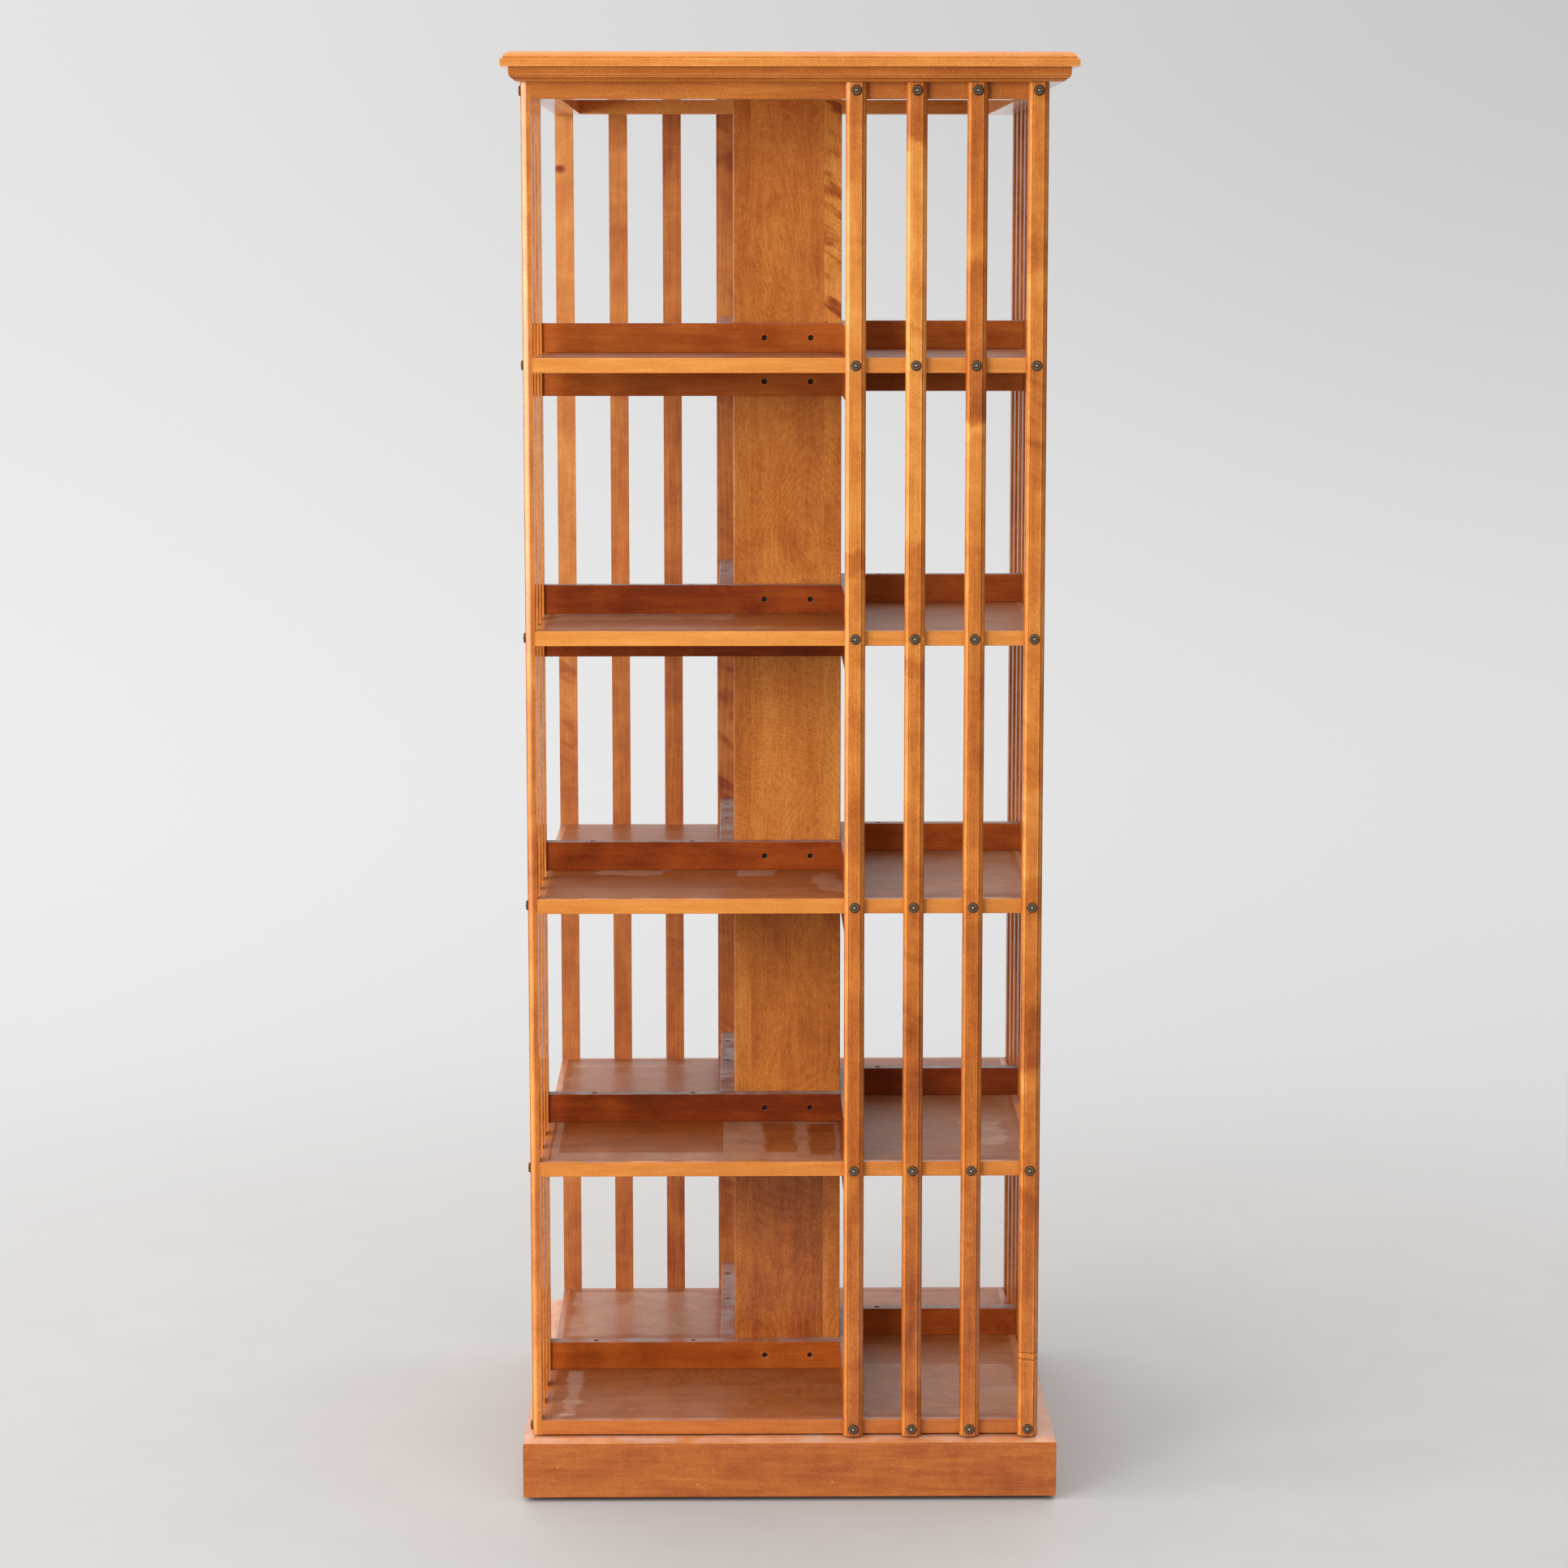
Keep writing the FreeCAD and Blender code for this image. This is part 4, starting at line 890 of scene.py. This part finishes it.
def cross_screw(mesh, place, length):
    """A screw that goes down from z = 0, the rail's face, with its head sunk below it."""
    def ring(points, z):
        return [mesh.verts.new(place @ Vector((x, y, z - SCREW_SINK))) for x, y in points]

    def circle(radius):
        angles = [math.atan2(y, x) for x, y in cross_outline(SLOT_REACH, SLOT_HALF)]
        return [(radius * math.cos(a), radius * math.sin(a)) for a in angles]

    slot_foot = cross_outline(SLOT_REACH * SLOT_FOOT_SHARE, SLOT_HALF * SLOT_FOOT_SHARE)
    rings = [ring(slot_foot, -SLOT_DEPTH),
             ring(cross_outline(SLOT_REACH, SLOT_HALF), HEAD_TOP),
             ring(circle(SCREW_HEAD * FLAT_SHARE), HEAD_TOP),
             ring(circle(SCREW_HEAD), HEAD_RIM),
             ring(circle(SCREW_HEAD), -HEAD_THICK),
             ring(circle(SCREW_SHANK), -HEAD_THICK),
             ring(circle(SCREW_SHANK), SCREW_SINK + SCREW_TIP - length),
             ring(circle(SCREW_SHANK * POINT_SHARE), SCREW_SINK - length)]
    for upper, lower in zip(rings, rings[1:]):
        for i in range(len(upper)):
            j = (i + 1) % len(upper)
            mesh.faces.new((upper[i], lower[i], lower[j], upper[j]))
    mesh.faces.new(rings[0])
    mesh.faces.new(reversed(rings[-1]))


print("a cross slot has", len(cross_outline(SLOT_REACH, SLOT_HALF)), "corners")

# %% [markdown]
# Two screws hold each rail to the column and two to its shelf. The pinwheel repeats in quarter
# turns, so one rail's screws are placed and turned four times; only the bottom shelf has no rails
# below.

# %% Screws of the rails
COLUMN_SCREWS_AT = (-SCREW_BESIDE, SCREW_BESIDE)
SHELF_SCREWS_AT = (-0.226, -0.111)
COLUMN_SCREW_LENGTH = 0.030
SHELF_SCREW_LENGTH = 0.040
into_column = bmesh.new()
into_shelf = bmesh.new()
for turn in range(4):
    quarter = Matrix.Rotation(turn * math.pi / 2, 4, "Z")
    for number, shelf in enumerate(SHELVES):
        low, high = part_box(shelf)
        for up, face in ((1, high.z), (-1, low.z)):
            if number == 0 and up < 0:
                continue
            for along in COLUMN_SCREWS_AT:
                turned = Matrix.Rotation(3.1 * along / SCREW_BESIDE + number + turn, 4, "Z")
                spot = Matrix.Translation((along, -RAIL_OUTER, face + up * RAIL_HEIGHT / 2))
                cross_screw(into_column, quarter @ spot @ OUTWARD @ turned, COLUMN_SCREW_LENGTH)
            for along in SHELF_SCREWS_AT:
                turned = Matrix.Rotation(9.0 * along + number + turn, 4, "Z")
                spot = Matrix.Translation((along, -(RAIL_INNER + RAIL_OUTER) / 2,
                                           face + up * RAIL_HEIGHT))
                flip = Matrix.Rotation(0.0 if up > 0 else math.pi, 4, "X")
                cross_screw(into_shelf, quarter @ spot @ flip @ turned, SHELF_SCREW_LENGTH)
for mesh, name, node in ((into_column, "screws_into_column", "rail_screws_to_column"),
                         (into_shelf, "screws_into_shelves", "rail_screws_to_shelves")):
    bmesh.ops.recalc_face_normals(mesh, faces=mesh.faces[:])
    piece = new_piece(name, mesh, SCREW_STEEL, "case", "screw_steel", node)
    piece.data.shade_flat()

# %% [markdown]
# The studio floor is pale and painted darker towards the front left, a painted shade that tones
# down the light from the left softbox. It turns clear at its rim, so that it meets the background
# without a horizon line; a curved backdrop would do that for one view only.

# %% Floor
FLOOR_RADIUS = 2.6
FADE_FROM = 0.4
FADE_TO = FLOOR_RADIUS - 0.2
FLOOR_TONES = ((0.375, 0.360, 0.350, 1.0), (0.435, 0.420, 0.410, 1.0))
FLOOR_PAINTED_SHADE_TONE = (0.240, 0.235, 0.230, 1.0)


def studio_floor():
    mesh = bmesh.new()
    bmesh.ops.create_circle(mesh, cap_ends=True, segments=96, radius=FLOOR_RADIUS)
    data = bpy.data.meshes.new("studio_floor")
    mesh.to_mesh(data)
    mesh.free()
    finish, here = new_finish("studio floor")
    length = finish.node("ShaderNodeVectorMath", {"operation": "LENGTH"}, {0: finish.place})
    colour = finish.mix(finish.noise(finish.place, 5.0, 5.0, 0.65), *FLOOR_TONES)
    # painted shade: darker towards the front left
    floor_painted_shade = finish.smooth(here[0] * -0.6 + here[1] * -0.8, -0.2, 1.2) * 0.3
    colour = finish.mix(floor_painted_shade, colour, FLOOR_PAINTED_SHADE_TONE)
    fade = 1 - finish.smooth(length.out("Value"), FADE_FROM, FADE_TO)
    data.materials.append(finish.surface(Base_Color=colour, Roughness=0.6, Alpha=fade))
    floor = bpy.data.objects.new("studio_floor", data)
    bpy.context.scene.collection.objects.link(floor)
    print("floor of", 2 * FLOOR_RADIUS, "m across")


studio_floor()

# %% [markdown]
# The light is what makes lacquer look like lacquer. The case stands before a bright wall, with
# more light from the left and a dark room behind the camera: so fronts show deep colour, left
# bevels gleam, right bevels are dark, and the shelves mirror the wall. The sky holds that room as
# a ramp of greys over the direction of a ray. What the camera itself sees of it is a plain pale
# backdrop, a little darker to the right and at the top, because the ramp's own slope would
# distract.

# %% Sky
#         from the dark room in front, on the right, to the bright wall behind, on the left
ROOM = tuple((place, (grey,) * 3) for place, grey in (
    (0.00, 0.10), (0.30, 0.14), (0.50, 0.34), (0.70, 0.70), (0.85, 0.96), (1.00, 1.20)))
CEILING = (2.0, 2.0, 2.0, 1.0)


def studio_sky():
    world = bpy.data.worlds.new("studio sky")
    bpy.context.scene.world = world
    sky = Finish(world)
    direction = sky.node("ShaderNodeTexCoord").out("Generated")
    split = sky.node("ShaderNodeSeparateXYZ", {}, {"Vector": direction})
    x, y, z = split.out("X"), split.out("Y"), split.out("Z")
    room = sky.node("ShaderNodeValToRGB", {"stops": ROOM}, {"Fac": y * 0.30 - x * 0.40 + 0.5})
    room = sky.mix(sky.smooth(z, 0.25, 0.8) * 0.85, room, CEILING)
    to_right = sky.smooth(x, -0.25, 0.25)
    to_top = sky.smooth(z, -0.14, 0.07)
    to_floor = 1 - sky.smooth(z, -0.36, -0.14)
    backdrop = 0.85 - to_right * 0.11 - to_top * (to_right * 0.10 + 0.06) - to_floor * 0.14
    seen = sky.node("ShaderNodeLightPath").out("Is Camera Ray")
    colour = sky.mix(seen, room, sky.vector(backdrop, backdrop, backdrop))
    shader = sky.node("ShaderNodeBackground", {}, {"Color": colour, "Strength": 1.0})
    sky.node("ShaderNodeOutputWorld", {}, {"Surface": shader})


studio_sky()
print("stops of the room's light:", len(ROOM))

# %% [markdown]
# Three area lights give direction and soft shadows: a large key from the front left, one from the
# left for the bevels, and a weak fill from the right that stays out of the lacquer's mirror line.

# %% Softboxes
def softbox(name, place, aim, width, height, power):
    """A rectangular area light that looks at a point."""
    light = bpy.data.lights.new(name, "AREA")
    light.shape = "RECTANGLE"
    light.size = width
    light.size_y = height
    light.energy = power
    lamp = bpy.data.objects.new(name, light)
    lamp.location = place
    lamp.rotation_euler = (Vector(aim) - Vector(place)).to_track_quat("-Z", "Y").to_euler()
    bpy.context.scene.collection.objects.link(lamp)
    print(name, "at", place, "with", power, "W")


softbox("key softbox", (-2.8, -3.7, 1.8), (0, 0, 0.9), 2.0, 2.4, 152)
softbox("left softbox", (-3.3, -0.9, 1.6), (0, 0, 1.2), 1.4, 2.0, 58)
softbox("fill softbox", (2.7, -4.4, 1.6), (0, 0, 0.9), 1.4, 2.2, 35)

# %% [markdown]
# The camera stands 4.5 m in front and 1.4 m up, and looks 8 degrees down. From so far, a long
# lens keeps the uprights nearly parallel.

# %% Camera
CAMERA_PLACE = (-0.0556, -4.5404, 1.4161)
CAMERA_TURN = (90.0 - 8.022, 0.0, -0.662)
LENS_LENGTH = 89.29
SENSOR_WIDTH = 36.0
lens = bpy.data.cameras.new("camera")
lens.lens = LENS_LENGTH
lens.sensor_width = SENSOR_WIDTH
camera = bpy.data.objects.new("camera", lens)
camera.location = CAMERA_PLACE
camera.rotation_euler = Euler([math.radians(angle) for angle in CAMERA_TURN])
bpy.context.scene.collection.objects.link(camera)
bpy.context.scene.camera = camera
bpy.context.scene.view_settings.view_transform = "Standard"
print("camera at", CAMERA_PLACE, "with a lens of", LENS_LENGTH, "mm")
